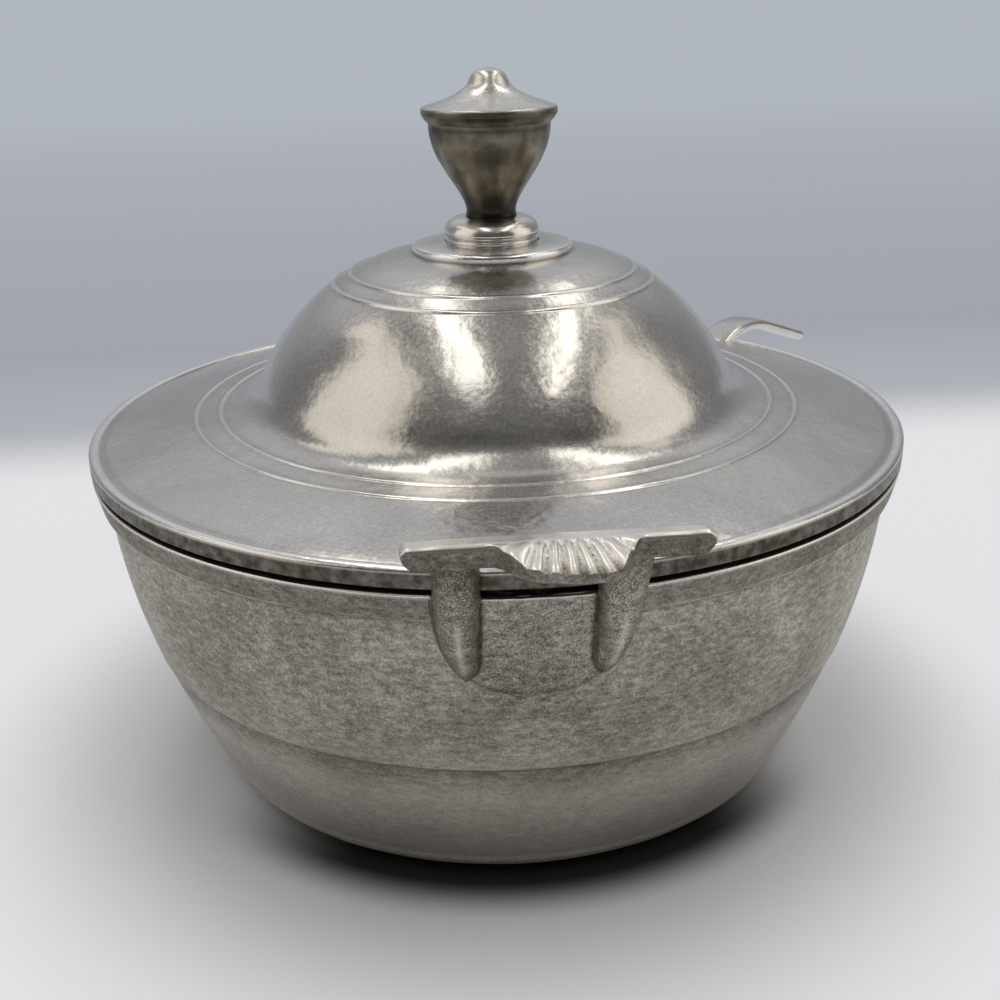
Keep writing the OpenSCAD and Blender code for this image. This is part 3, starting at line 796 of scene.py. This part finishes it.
def lid_top():
    """The lid's upper section: edge, bead, flange, dome, plate and the collar's seat."""
    edge = rounded([(LID_R - 4, LID_Z), (LID_R, LID_Z, 0.5), (LID_R, LID_Z + 1.2),
                    (LID_R, EDGE_Z - 0.5), (LID_R, EDGE_Z)])
    bead = [(LID_R - BEAD_W / 2 + BEAD_W / 2 * math.cos(a), EDGE_Z + BEAD_H * math.sin(a))
            for a in np.linspace(0, BEAD_SWEEP, 16)]
    places = ring_places()
    surface = np.array(lid_curve(FLANGE_R - 0.9, 0, PLATE_R))
    surface = ridges(stepped(surface, 1.5, 0.14, places, RING_HALF * 1.4), places)
    surface[:, 1] -= plate_dip(surface[:, 0])
    recess_r = COLLAR_FOOT_R + PLATE_ROOM
    plate_z = SEAT_Z + PLATE_RISE
    plate = rounded([tuple(surface[-1]), (PLATE_R, SEAT_Z + PLATE_EDGE, 1.2),
                     (recess_r + 2, plate_z - 0.15, 1.2), (recess_r, plate_z, 0.3),
                     (recess_r, SEAT_Z, 0.2), (BOLT_R, SEAT_Z)])
    seat = np.array([(r, SEAT_Z) for r in (12.0, 7.0, BOLT_R)])
    return np.concatenate([edge[1:-1], np.array(bead), surface, plate[1:-1], seat])


def lid_under():
    """The lid's lower section: seat, skirt, hollow and boss."""
    skirt_r = MOUTH_R - SKIRT_GAP
    skirt_in = skirt_r - SKIRT_T
    seat_r = MOUTH_R + SEAT_W
    # The first points of the curve give way to the rounded corner above the skirt
    inner = np.array(lid_curve(skirt_in, LID_T, BOSS_R)[6:])
    seat = rounded([(LID_R - 2, LID_Z), (seat_r, LID_Z, 0.3), (seat_r, RIM_Z, 0.3),
                    (skirt_r, RIM_Z, 0.3), (skirt_r, SKIRT_LOW_Z, 0.6), (skirt_in, SKIRT_LOW_Z, 0.6),
                    (skirt_in, flange_z(skirt_in) - LID_T, 0.8), tuple(inner[0])])
    hollow = stepped(inner, 2.0, 2.0, [], 0)
    boss_z = SEAT_Z - WEB_T
    boss = np.array([(BOSS_R, boss_z), (BOLT_R, boss_z)])
    return np.concatenate([seat[1:-1], hollow, boss])


def notch_cutter():
    """A rounded slot, open outwards, where the ladle's handle leaves through the lid."""
    side = NOTCH_HALF - NOTCH_ROUND
    outline = [(NOTCH_R + NOTCH_ROUND * (1 - math.sin(a)), side + NOTCH_ROUND * math.cos(a))
               for a in np.linspace(0, math.pi / 2, 10)]
    outline += [(x, -y) for x, y in outline[::-1]]
    outline += [(LID_R + 5, -NOTCH_HALF), (LID_R + 5, NOTCH_HALF)]
    low = np.array([(x, y, SKIRT_LOW_Z - 5) for x, y in outline])
    high = low + np.array([0, 0, DOME_Z - SKIRT_LOW_Z + 5])
    cutter = make_object("notch_cutter", *lofted([low, high]))
    cutter.data.transform(Matrix.Rotation(LADLE_AZ, 4, "Z"))
    return cutter


def make_lid(material):
    # The section is a closed loop: in over the top, and back out below
    section = np.concatenate([lid_top(), lid_under()[::-1]])
    lid = make_object("lid_polished", *turned(section, TURNS, closed=True))
    wear_in(lid, *WEAR["lid"])
    cutter = notch_cutter()
    cut = lid.modifiers.new("notch", "BOOLEAN")
    cut.operation = "DIFFERENCE"
    cut.solver = "EXACT"
    cut.object = cutter
    bake(lid)
    bpy.data.objects.remove(cutter)
    mark_lid(lid)
    finish_piece(lid, material, "lid_with_knob", "lid")


# Knob

def knob_profile():
    """From the blind hole for the screw, over the foot, urn, lip and cap, to the tip."""
    neck_z = KNOB_Z + NECK_H
    lip_z = neck_z + URN_H
    cap_z = lip_z + LIP_H
    tip_z = cap_z + CAP_H
    hole_z = KNOB_Z + THREAD_DEPTH
    path = [(0, hole_z), (THREAD_R, hole_z, 0.3), (THREAD_R, KNOB_Z, 0.3)]
    path += [(NECK_R + 0.3, KNOB_Z, 0.3), (NECK_R, KNOB_Z + NECK_H / 2), (NECK_R, neck_z)]
    for t in np.linspace(0.04, 1, 28):
        path.append((NECK_R + (URN_R - NECK_R) * (1 - (1 - t ** 1.5) ** 2.3), neck_z + URN_H * t))
    path += [(URN_R + 0.1, lip_z + 0.5, 0.3), (LIP_R - 0.9, lip_z + 1.5, 0.5)]
    path += [(LIP_R - 0.5, lip_z + 2.2, 0.3), (LIP_R, lip_z + 3.0, 0.4), (LIP_R, cap_z - 0.1, 0.7)]
    for t in np.linspace(0.06, 1, 24):
        flare = (LIP_R - TIP_R - CAP_TAPER) * (1 - t) ** 2
        path.append((TIP_R + CAP_TAPER * (1 - t) + flare, cap_z + CAP_H * t))
    for t in np.sin(np.linspace(0, math.pi / 2, 18))[1:-1]:
        path.append(((TIP_R - TIP_TAPER * t) * math.sqrt(1 - t ** 5), tip_z + TIP_H * t))
    path.append((0, tip_z + TIP_H))
    return rounded(path)


def mark_knob(knob):
    """Bright on top of the cap, a painted highlight, partly worn; painted shade round the neck and
    under the lip, and darker on the lip.
    """
    height = points_of(knob)[:, 2]
    up = normals_of(knob)[:, 2]
    cap_z = KNOB_TOP_Z - TIP_H - CAP_H
    # The cap's upward faces made bright: a painted highlight, partly worn.
    set_mark(knob, "polish_and_sheen", (1, rise(height, cap_z - 1, cap_z) * rise(up, -0.05, 0.25)))
    # Painted shade round the neck and under the lip; the lip is darker too.
    neck = near(height - KNOB_Z - NECK_H / 2, 5.0)
    lip = near(height - cap_z + LIP_H / 2 - 0.4, 1.6)
    shade_under_lip = near(height - cap_z + LIP_H + 0.8, 0.9)
    set_mark(knob, "grime_and_shade", (1, neck), (0.55, lip), (0.6, shade_under_lip))


def make_knob(material):
    knob = make_object("knob_turned", *turned(knob_profile(), SMALL_TURNS))
    wear_in(knob, *WEAR["knob"])
    mark_knob(knob)
    finish_piece(knob, material, "lid_with_knob", "knob")


def make_collar(material):
    """A round body on a foot ring, with a fine groove between them."""
    foot_h = 2.5
    groove_z = SEAT_Z + foot_h + 0.3
    body_z = SEAT_Z + 4.0
    top_r = NECK_R + 1.2
    path = [(BOLT_R, SEAT_Z), (COLLAR_FOOT_R, SEAT_Z, 0.2), (COLLAR_FOOT_R, SEAT_Z + foot_h, 0.5)]
    path += [(COLLAR_FOOT_R - 0.9, groove_z, 0.2), (COLLAR_R - 0.5, groove_z + 0.3, 0.2)]
    for a in np.linspace(0, math.pi / 2, 18):
        r = top_r + (COLLAR_R - top_r) * math.cos(a)
        path.append((r, body_z + (KNOB_Z - body_z) * math.sin(a)))
    path.append((BOLT_R, KNOB_Z))
    collar = make_object("knob_collar_turned", *turned(rounded(path, 8), SMALL_TURNS, closed=True))
    wear_in(collar, *WEAR["collar"])
    finish_piece(collar, material, "lid_with_knob", "knob_collar")


# Ladle

def to_ladle_side(points):
    """Points made in the ladle's own upright plane, turned to where the ladle leans."""
    turn = np.array(Matrix.Rotation(LADLE_AZ, 3, "Z"))
    return points @ turn.T


def cup_outside_r(height):
    """Radius of the cup's outside at a height over its lowest point."""
    share = (1 - np.clip(height / CUP_H, 0, 1)) / CUP_ROUNDNESS
    return CUP_R * np.sqrt(1 - share ** 2)


def make_cup(material):
    low = CUP_T * 1.3
    heights = CUP_H * np.sin(np.linspace(0, math.pi / 2, 40))
    path = [(0, 0)] + [(float(cup_outside_r(h)), h) for h in heights[:-3]]
    path += [(CUP_R, CUP_H, 0.8), (CUP_R - CUP_T, CUP_H, 0.8)]
    for t in np.sin(np.linspace(math.pi / 2, 0, 38))[3:-1]:
        path.append(((CUP_R - CUP_T) * math.sqrt(1 - (1 - t) ** 2), low + (CUP_H - low) * t))
    path.append((0, low))
    points, faces = turned(rounded(path), SMALL_TURNS)
    points = to_ladle_side(points + np.array([CUP_OFF, 0, CUP_Z]))
    cup = make_object("ladle_cup_spun", points, faces)
    wear_in(cup, *WEAR["cup"])
    finish_piece(cup, material, "ladle", "ladle_cup")


def uphill(slope):
    return np.array([math.cos(slope), math.sin(slope)])


def upright(slope):
    return np.array([-math.sin(slope), math.cos(slope)])


def strip_path():
    """The handle's middle line in the ladle's plane, and its widths, from cup to tip."""
    root = np.array([CUP_OFF + CUP_R - ROOT_IN, CUP_Z + CUP_H - ROOT_DROP])
    rim = np.array([MOUTH_R, RIM_Z + STRIP_T / 2 / math.cos(RIM_SLOPE) + STRIP_ROOM])
    reach = np.linalg.norm(rim - root) / 3
    two = root + reach * uphill(ROOT_SLOPE)
    three = rim - reach * uphill(RIM_SLOPE)
    centre = rim - HOOK_R * upright(RIM_SLOPE)
    path = []
    widths = []
    for t in np.linspace(0, 1, 60)[:-1]:
        u = 1 - t
        path.append(u ** 3 * root + 3 * u * u * t * two + 3 * u * t * t * three + t ** 3 * rim)
        flare = (STRIP_ROOT_W - STRIP_NECK_W) * max(0.0, 1 - t / 0.3) ** 2
        widths.append(STRIP_NECK_W + (STRIP_W - STRIP_NECK_W) * t + flare)
    for angle in np.linspace(RIM_SLOPE, -HOOK_DROP, 40)[:-1]:
        path.append(centre + HOOK_R * upright(angle))
        widths.append(STRIP_W)
    bend_end = centre + HOOK_R * upright(-HOOK_DROP)
    for s in HOOK_TIP * np.sin(np.linspace(0, math.pi / 2, 40)):
        path.append(bend_end + s * uphill(-HOOK_DROP))
        left = min(1.0, (HOOK_TIP - s) / (STRIP_W / 2))
        widths.append(STRIP_W * max(0.12, math.sqrt(1 - (1 - left) ** 2)))
    return np.array(path), np.array(widths)


def blunt(values, power):
    """Values with their signs, drawn towards 1 or -1 where the power is under 1."""
    return np.sign(values) * np.abs(values) ** power


def make_strip(material):
    path, widths = strip_path()
    along = directions(path)
    turn = np.linspace(0, 2 * math.pi, 36, endpoint=False)
    across = blunt(np.cos(turn), 0.5)
    up = blunt(np.sin(turn), 0.7) * STRIP_T / 2
    rings = []
    for p, d, width in zip(path, along, widths):
        thick = up * min(1.0, 0.45 + 0.55 * width / STRIP_NECK_W)
        rings.append(np.column_stack([p[0] - d[1] * thick, across * width / 2, p[1] + d[0] * thick]))
    # The first ring is pushed out along the handle until it ends in the cup's wall
    first = rings[0]
    start = np.array([along[0][0], 0, along[0][1]])
    for point in first:
        while np.hypot(point[0] - CUP_OFF, point[1]) < cup_outside_r(point[2] - CUP_Z) - CUP_T / 2:
            point += start * 0.05
    low = first.max(axis=0)
    rest = [ring for ring in rings[1:] if ring[:, 2].min() > low[2] or ring[:, 0].min() > low[0]]
    points, faces = lofted([first] + rest)
    strip = make_object("ladle_handle_forged", to_ladle_side(points), faces)
    wear_in(strip, *WEAR["strip"])
    finish_piece(strip, material, "ladle", "ladle_handle")


# Materials

class Graph:
    """The nodes of a material or of the world, built with short calls."""

    def __init__(self, owner):
        owner.use_nodes = True
        self.owner = owner
        self.tree = owner.node_tree
        self.tree.nodes.clear()

    def node(self, kind, inputs=None, **settings):
        """A shader node with its settings, and with values or links in its inputs."""
        node = self.tree.nodes.new("ShaderNode" + kind)
        for key, value in settings.items():
            setattr(node, key, value)
        for key, value in (inputs or {}).items():
            if isinstance(value, bpy.types.NodeSocket):
                self.tree.links.new(value, node.inputs[key])
            else:
                node.inputs[key].default_value = value
        return node

    def end(self, kind, shader):
        self.node(kind, {0: shader.outputs[0]})

    def metal(self, colour, rough, *bumps):
        """Ends a material in a metal shader, with bumps laid over one another."""
        normal = None
        for bump in bumps:
            normal = self.bump(normal, *bump)
        inputs = {"Base Color": colour, "Metallic": 1.0, "Roughness": rough, "Normal": normal}
        self.end("OutputMaterial", self.node("BsdfPrincipled", inputs))
        return self.owner

    def blend(self, share, one, two):
        """A mix of two shaders."""
        return self.node("MixShader", {0: share, 1: one.outputs[0], 2: two.outputs[0]})

    def place(self):
        return self.node("TexCoord").outputs["Object"]

    def mark(self, name):
        return self.node("Attribute", attribute_name=name).outputs["Fac"]

    def math(self, operation, one, two):
        return self.node("Math", {0: one, 1: two}, operation=operation).outputs[0]

    def add(self, one, two):
        return self.math("ADD", one, two)

    def times(self, one, two):
        return self.math("MULTIPLY", one, two)

    def vector(self, operation, inputs, output=0):
        return self.node("VectorMath", inputs, operation=operation).outputs[output]

    def parts(self, vector):
        return self.node("SeparateXYZ", {0: vector}).outputs

    def flat(self, parts):
        """A vector without its height, from its parts."""
        return self.node("CombineXYZ", {0: parts[0], 1: parts[1]}).outputs[0]

    def noise(self, vector, size, detail=2.0, rough=0.5):
        """Noise in bumps of that size, in millimetres."""
        inputs = {"Vector": vector, "Scale": 1 / (size * MM), "Detail": detail, "Roughness": rough}
        return self.node("TexNoise", inputs).outputs[0]

    def span(self, value, low, high, to_low=0.0, to_high=1.0, kind="LINEAR"):
        inputs = {0: value, 1: low, 2: high, 3: to_low, 4: to_high}
        return self.node("MapRange", inputs, interpolation_type=kind).outputs[0]

    def spread(self, noise, to_low, to_high):
        """Noise, which lies mostly between 0.3 and 0.7, stretched to another range."""
        return self.span(noise, 0.3, 0.7, to_low, to_high)

    def smooth(self, value, low, high):
        return self.span(value, low, high, kind="SMOOTHSTEP")

    def mix(self, share, one, two, blend="MIX"):
        inputs = {0: share, 6: one, 7: two}
        return self.node("Mix", inputs, data_type="RGBA", blend_type=blend).outputs[2]

    def ramp(self, value, stops):
        node = self.node("ValToRGB", {0: value})
        marks = node.color_ramp.elements
        while len(marks) < len(stops):
            marks.new(0.5)
        for mark, (place, colour) in zip(marks, stops):
            mark.position = place
            mark.color = colour
        return node.outputs[0]

    def bump(self, under, height, depth, strength=1.0):
        inputs = {"Height": height, "Distance": depth * MM, "Strength": strength}
        if under is not None:
            inputs["Normal"] = under
        return self.node("Bump", inputs).outputs[0]


def new_look(name):
    return Graph(bpy.data.materials.new(name))


def grey(level, warm=0.0):
    """A colour of that brightness, warmer or cooler by a share."""
    return (level * (1 + warm), level, level * (1 - 1.6 * warm), 1.0)


# Faint tints that vary over the castings
OLIVE = (0.99, 1.0, 0.95, 1)
REDDISH = (1.02, 0.99, 0.96, 1)


def cast_metal():
    """Sand-cast and tumbled: dark grain in soft blotches; tops and edges bright, partly worn and partly
    painted highlight; painted shade, partly soil, in the seams.
    """
    g = new_look("cast_metal_look")
    place = g.place()
    # The worn mark also carries painted highlight; the next mark carries painted shade as well as soil.
    worn = g.mark("polish_and_sheen")
    dirt_and_shade = g.mark("grime_and_shade")
    coarse = g.mark("coarse")
    # Blotches are twice as wide as they are high
    wide = g.vector("MULTIPLY", {0: place, 1: (0.5, 0.5, 1.0)})
    patch = g.noise(place, 26.0, 3.0)
    blotch = g.noise(wide, 1.6, 3.0, 0.6)
    speck = g.noise(place, 0.7, 2.0, 0.6)
    grain = g.noise(place, 0.32, 1.0)
    hue = g.noise(wide, 4.0)
    fine = g.add(g.spread(speck, 0.0, 0.28), g.spread(grain, 0.0, 0.16))
    soft = g.add(g.spread(blotch, 0.0, 0.34), g.spread(patch, 0.0, 0.22))
    sandy = g.times(g.spread(grain, -0.38, 0.26), coarse)
    tone = g.add(g.add(fine, soft), sandy)
    cast = g.ramp(tone, [(0.18, grey(0.105, 0.09)), (0.5, grey(0.28, 0.08)), (0.82, grey(0.53, 0.055))])
    tint = g.mix(g.smooth(hue, 0.4, 0.6), OLIVE, REDDISH)
    cast = g.mix(1.0, cast, tint, "MULTIPLY")
    # A bright tone for worn metal and for painted highlight, and near black for painted shade, partly
    # soil.
    rubbed_and_lit = g.mix(g.span(speck, 0.35, 0.65), grey(0.82, 0.04), grey(0.95, 0.04))
    colour = g.mix(dirt_and_shade, g.mix(worn, cast, rubbed_and_lit), grey(0.035, 0.12))
    rough = g.add(g.spread(speck, 0.48, 0.38), g.times(worn, -0.11))
    rough = g.add(rough, g.times(dirt_and_shade, 0.25))
    raw = g.math("SUBTRACT", 1.0, g.times(worn, 0.75))
    return g.metal(colour, rough, (blotch, 0.13, raw), (speck, 0.08, raw), (grain, 0.04, raw),
                   (grain, 0.12, coarse))


def around(g, place, share):
    """Coordinates in which fine noise runs round the axis, as turning and polishing marks do."""
    parts = g.parts(place)
    flat = g.flat(parts)
    radius = g.vector("LENGTH", {0: flat}, "Value")
    way = g.vector("NORMALIZE", {0: flat})
    slow = g.parts(g.vector("SCALE", {0: way, "Scale": share * MM}))
    across = g.math("SUBTRACT", radius, parts[2])
    return g.node("CombineXYZ", {0: slow[0], 1: slow[1], 2: across}).outputs[0]


def polished_metal(name, low, high, round_marks, relief=1.0):
    """Soft polished: faint dents, smears in the gloss and fine marks; rings worn bright and lit by
    painted highlight, with painted shade beside them.
    """
    g = new_look(name)
    place = g.place()
    # The worn mark also carries painted highlight; the next mark carries painted shade as well as soil.
    worn = g.mark("polish_and_sheen")
    pits = g.noise(place, 2.6)
    dirt_and_shade = g.times(g.mark("grime_and_shade"), g.spread(pits, 0.82, 1.06))
    dents = g.noise(place, 8.0)
    smear = g.noise(place, 28.0, 4.0, 0.6)
    fine = g.noise(place, 0.9, 3.0, 0.6)
    marks = g.noise(around(g, place, 4.0) if round_marks else place, 0.3)
    tone = g.add(g.spread(fine, 0.0, 0.6), g.spread(smear, 0.0, 0.4))
    clean = g.ramp(tone, [(0.1, grey(low, 0.03)), (0.9, grey(high, 0.03))])
    # Near white for worn metal and painted highlight, near black for painted shade, partly soil.
    colour = g.mix(dirt_and_shade, g.mix(worn, clean, grey(0.93, 0.01)), grey(0.06, 0.16))
    rough = g.add(g.spread(smear, 0.17, 0.25), g.spread(fine, -0.03, 0.05))
    rough = g.add(rough, g.times(dirt_and_shade, 0.16))
    return g.metal(colour, rough, (dents, 0.24 * relief), (pits, 0.03 * relief),
                   (fine, 0.024 * relief), (marks, 0.012))


def knob_metal():
    """Cast and dark, partly tarnish and partly painted shade; bright only on the cap, a painted
    highlight.
    """
    g = new_look("knob_metal_look")
    place = g.place()
    worn = g.mark("polish_and_sheen")
    dirt_and_shade = g.mark("grime_and_shade")
    mottle = g.noise(place, 6.0, 3.0)
    speck = g.noise(place, 0.9)
    marks = g.noise(around(g, place, 2.0), 0.35)
    # The body's dark tone is partly tarnish and partly painted shade; the bright tone is painted
    # highlight, and the near black painted shade.
    dark = g.ramp(mottle, [(0.3, grey(0.09, 0.15)), (0.7, grey(0.23, 0.13))])
    bright = g.mix(g.span(speck, 0.35, 0.65), grey(0.66, 0.03), grey(0.79, 0.03))
    colour = g.mix(dirt_and_shade, g.mix(worn, dark, bright), grey(0.028, 0.10))
    rough = g.math("SUBTRACT", g.spread(mottle, 0.40, 0.28), g.times(worn, 0.06))
    return g.metal(colour, rough, (mottle, 0.16), (speck, 0.05), (marks, 0.02))


def zinc_steel():
    """Zinc-plated steel: cloudy, with fine turning marks."""
    g = new_look("zinc_steel_look")
    place = g.place()
    cloud = g.noise(place, 2.5, 3.0)
    marks = g.noise(around(g, place, 1.0), 0.2, 1.0)
    colour = g.ramp(cloud, [(0.3, grey(0.50, -0.01)), (0.7, grey(0.66, -0.01))])
    return g.metal(colour, g.spread(cloud, 0.24, 0.40), (marks, 0.015))


# Stage, light and camera; places and distances here are in metres

WALL_TONE = (0.44, 0.47, 0.52, 1.0)
BACKDROP_LOW = (0.46, 0.48, 0.515, 1)
BACKDROP_DARK = (0.36, 0.375, 0.415, 1)
# The table's front is painted darker than its back: a painted shade over the side towards the camera.
TABLE_FRONT_SHADED = (0.50, 0.52, 0.55, 1)
TABLE_BACK = (0.82, 0.85, 0.90, 1)
TABLE_FAR = (0.80, 0.81, 0.82, 1)
# Colour of the painted contact shadow
SHADOW_TONE = (0.01, 0.01, 0.01, 1)
# How much of the painted contact shadow's dark the camera sees, and how much other rays meet
SHADOW_SEEN = 0.98
SHADOW_MET = 0.6
FLOOR_HALF = 60.0
FLOOR_Z = -0.00005

STRIP_COLOUR = (1.0, 0.96, 0.88)
PANEL_COLOUR = (1.0, 0.92, 0.80)
# Lamps: place, width, length and watts
STRIPS = {
    "strip_left": ((-0.25, -0.03, 1.15), 0.17, 1.45, 1.9),
    "strip_right": ((0.46, -0.07, 1.15), 0.17, 1.5, 2.0),
}
PANELS = {
    "panel_left": ((-0.85, -0.22, 0.78), 0.85, 1.2, 2.4),
    "panel_left_back": ((-0.85, 0.46, 1.17), 0.5, 0.46, 0.6),
    "panel_right_back": ((0.85, 0.26, 1.17), 0.32, 0.4, 0.32),
    "panel_right": ((0.85, -0.33, 0.66), 0.85, 1.03, 2.3),
}
# The room's light from the level up to the zenith: (height, brightness, warmth)
ROOM_BACK = ((0.0, 0.34, -0.03), (0.26, 0.36, -0.03), (0.52, 0.58, -0.03),
             (0.74, 0.55, -0.02), (0.88, 0.50, -0.01), (0.97, 0.26, 0.0))
ROOM_SIDE = ((0.0, 0.20, -0.02), (0.5, 0.24, -0.01), (0.97, 0.26, 0.0))
ROOM_FRONT = ((0.0, 0.03, 0.03), (0.5, 0.10, 0.02), (0.97, 0.26, 0.0))


def painted_contact_shadow(g, depth, distance, to_camera):
    """Share of painted shadow on the table under the front of the bowl's foot."""
    ahead = g.math("DIVIDE", depth, distance)
    under = g.times(g.smooth(distance, 0.114, 0.096), g.smooth(ahead, -0.4, -0.85))
    return g.times(under, g.span(to_camera, 0, 1, SHADOW_MET, SHADOW_SEEN))


def floor_material():
    """A pale table, with a painted shadow under the bowl's front, that turns into a grey-blue backdrop.
    """
    g = new_look("floor_look")
    place = g.place()
    depth = g.parts(place)[1]
    distance = g.vector("LENGTH", {0: place}, "Value")
    rays = g.node("LightPath").outputs
    to_camera = rays["Is Camera Ray"]
    seen = g.math("MAXIMUM", to_camera, rays["Is Glossy Ray"])
    # The table darkens towards the front, a painted shade.
    table = g.mix(g.span(depth, -0.45, -0.05), TABLE_FRONT_SHADED, TABLE_BACK)
    table = g.mix(painted_contact_shadow(g, depth, distance, to_camera), table, SHADOW_TONE)
    waves = g.bump(None, g.noise(place, 60.0, 3.0), 0.3)
    lit = g.node("BsdfPrincipled", {"Base Color": table, "Roughness": 0.75, "Normal": waves,
                                    "Specular IOR Level": 0.15})
    pale = g.node("Emission", {"Color": TABLE_FAR})
    pale_share = g.times(g.times(g.smooth(distance, 0.10, 0.19), 0.88), seen)
    beyond = g.math("MAXIMUM", g.smooth(depth, 0.25, 0.36), g.smooth(distance, 0.9, 2.2))
    tone = g.ramp(g.span(depth, 0.25, 2.5),
                  [(0.0, BACKDROP_LOW), (0.12, BACKDROP_DARK), (1.0, WALL_TONE)])
    glow = g.node("Emission", {"Color": tone})
    g.end("OutputMaterial", g.blend(g.times(beyond, seen), g.blend(pale_share, lit, pale), glow))
    return g.owner


def make_floor():
    sides = ((-1, -1), (1, -1), (1, 1), (-1, 1))
    corners = np.array([(x * FLOOR_HALF, y * FLOOR_HALF, FLOOR_Z) for x, y in sides]) / MM
    floor = make_object("floor", corners, [[0, 1, 2, 3]])
    floor.data.materials.append(floor_material())


def make_lamp(name, place, aim, colour, width, length, watts):
    light = bpy.data.lights.new(name, "AREA")
    light.shape = "RECTANGLE"
    light.size = width
    light.size_y = length
    light.energy = watts
    light.color = colour
    lamp = add_object(name, light)
    lamp.location = place
    lamp.rotation_euler = (Vector(aim) - Vector(place)).to_track_quat("-Z", "Y").to_euler()
    lamp.visible_camera = False


def make_lights():
    """Strips that shine down and warm panels that shine across, as the lid reflects them."""
    for name, (place, *sizes) in STRIPS.items():
        make_lamp(name, place, (place[0], place[1], 0), STRIP_COLOUR, *sizes)
    for name, (place, *sizes) in PANELS.items():
        make_lamp(name, place, (0, place[1], place[2]), PANEL_COLOUR, *sizes)


def make_world():
    """A dim studio: a soft light high behind the object, and darkness behind the camera."""
    world = bpy.data.worlds.new("studio")
    bpy.context.scene.world = world
    g = Graph(world)
    parts = g.parts(g.node("TexCoord").outputs["Generated"])
    ahead = g.parts(g.vector("NORMALIZE", {0: g.flat(parts)}))[1]
    back, side, front = [g.ramp(parts[2], [(up, grey(level, warm)) for up, level, warm in stops])
                         for stops in (ROOM_BACK, ROOM_SIDE, ROOM_FRONT)]
    room = g.mix(g.smooth(ahead, 0.5, 0.96), side, back)
    room = g.mix(g.smooth(ahead, -0.1, -0.7), room, front)
    seen = g.mix(g.node("LightPath").outputs["Is Camera Ray"], room, WALL_TONE)
    g.end("OutputWorld", g.node("Background", {"Color": seen}))


def make_camera():
    """The photograph's view, fitted to the circles of the lid and the bowl."""
    # The focal length is in picture widths, angles in radians, distances in millimetres
    focal = 1.3
    pitch = 0.370332
    roll = 0.021308
    turn = math.radians(5.8)
    yaw = 0.001957
    away = 397.04
    height = 231.6
    data = bpy.data.cameras.new("photo_camera")
    data.sensor_fit = "HORIZONTAL"
    data.sensor_width = 36.0
    data.lens = 36.0 * focal
    data.clip_start = 0.01
    data.clip_end = 500.0
    camera = add_object("photo_camera", data)
    place = Vector((-away * math.sin(turn), -away * math.cos(turn), height)) * MM
    camera.matrix_world = (Matrix.Translation(place)
                           @ Matrix.Rotation(-turn - yaw, 4, "Z")
                           @ Matrix.Rotation(math.pi / 2 - pitch, 4, "X")
                           @ Matrix.Rotation(-roll, 4, "Z"))
    bpy.context.scene.camera = camera


make_camera()
make_floor()
make_lights()
make_world()
bpy.context.scene.view_settings.view_transform = "Standard"

cast = cast_metal()
ladle_metal = polished_metal("ladle_metal_look", 0.55, 0.72, False)
steel = zinc_steel()
make_bowl(cast)
make_handles(cast)
make_lid(polished_metal("lid_metal_look", 0.54, 0.72, True))
make_knob(knob_metal())
make_collar(polished_metal("collar_metal_look", 0.66, 0.80, True, 0.3))
make_cup(ladle_metal)
make_strip(ladle_metal)
for steel_node in ("knob_screw", "knob_washer"):
    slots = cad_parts[steel_node].data.materials
    slots.clear()
    slots.append(steel)

bpy.context.view_layer.update()
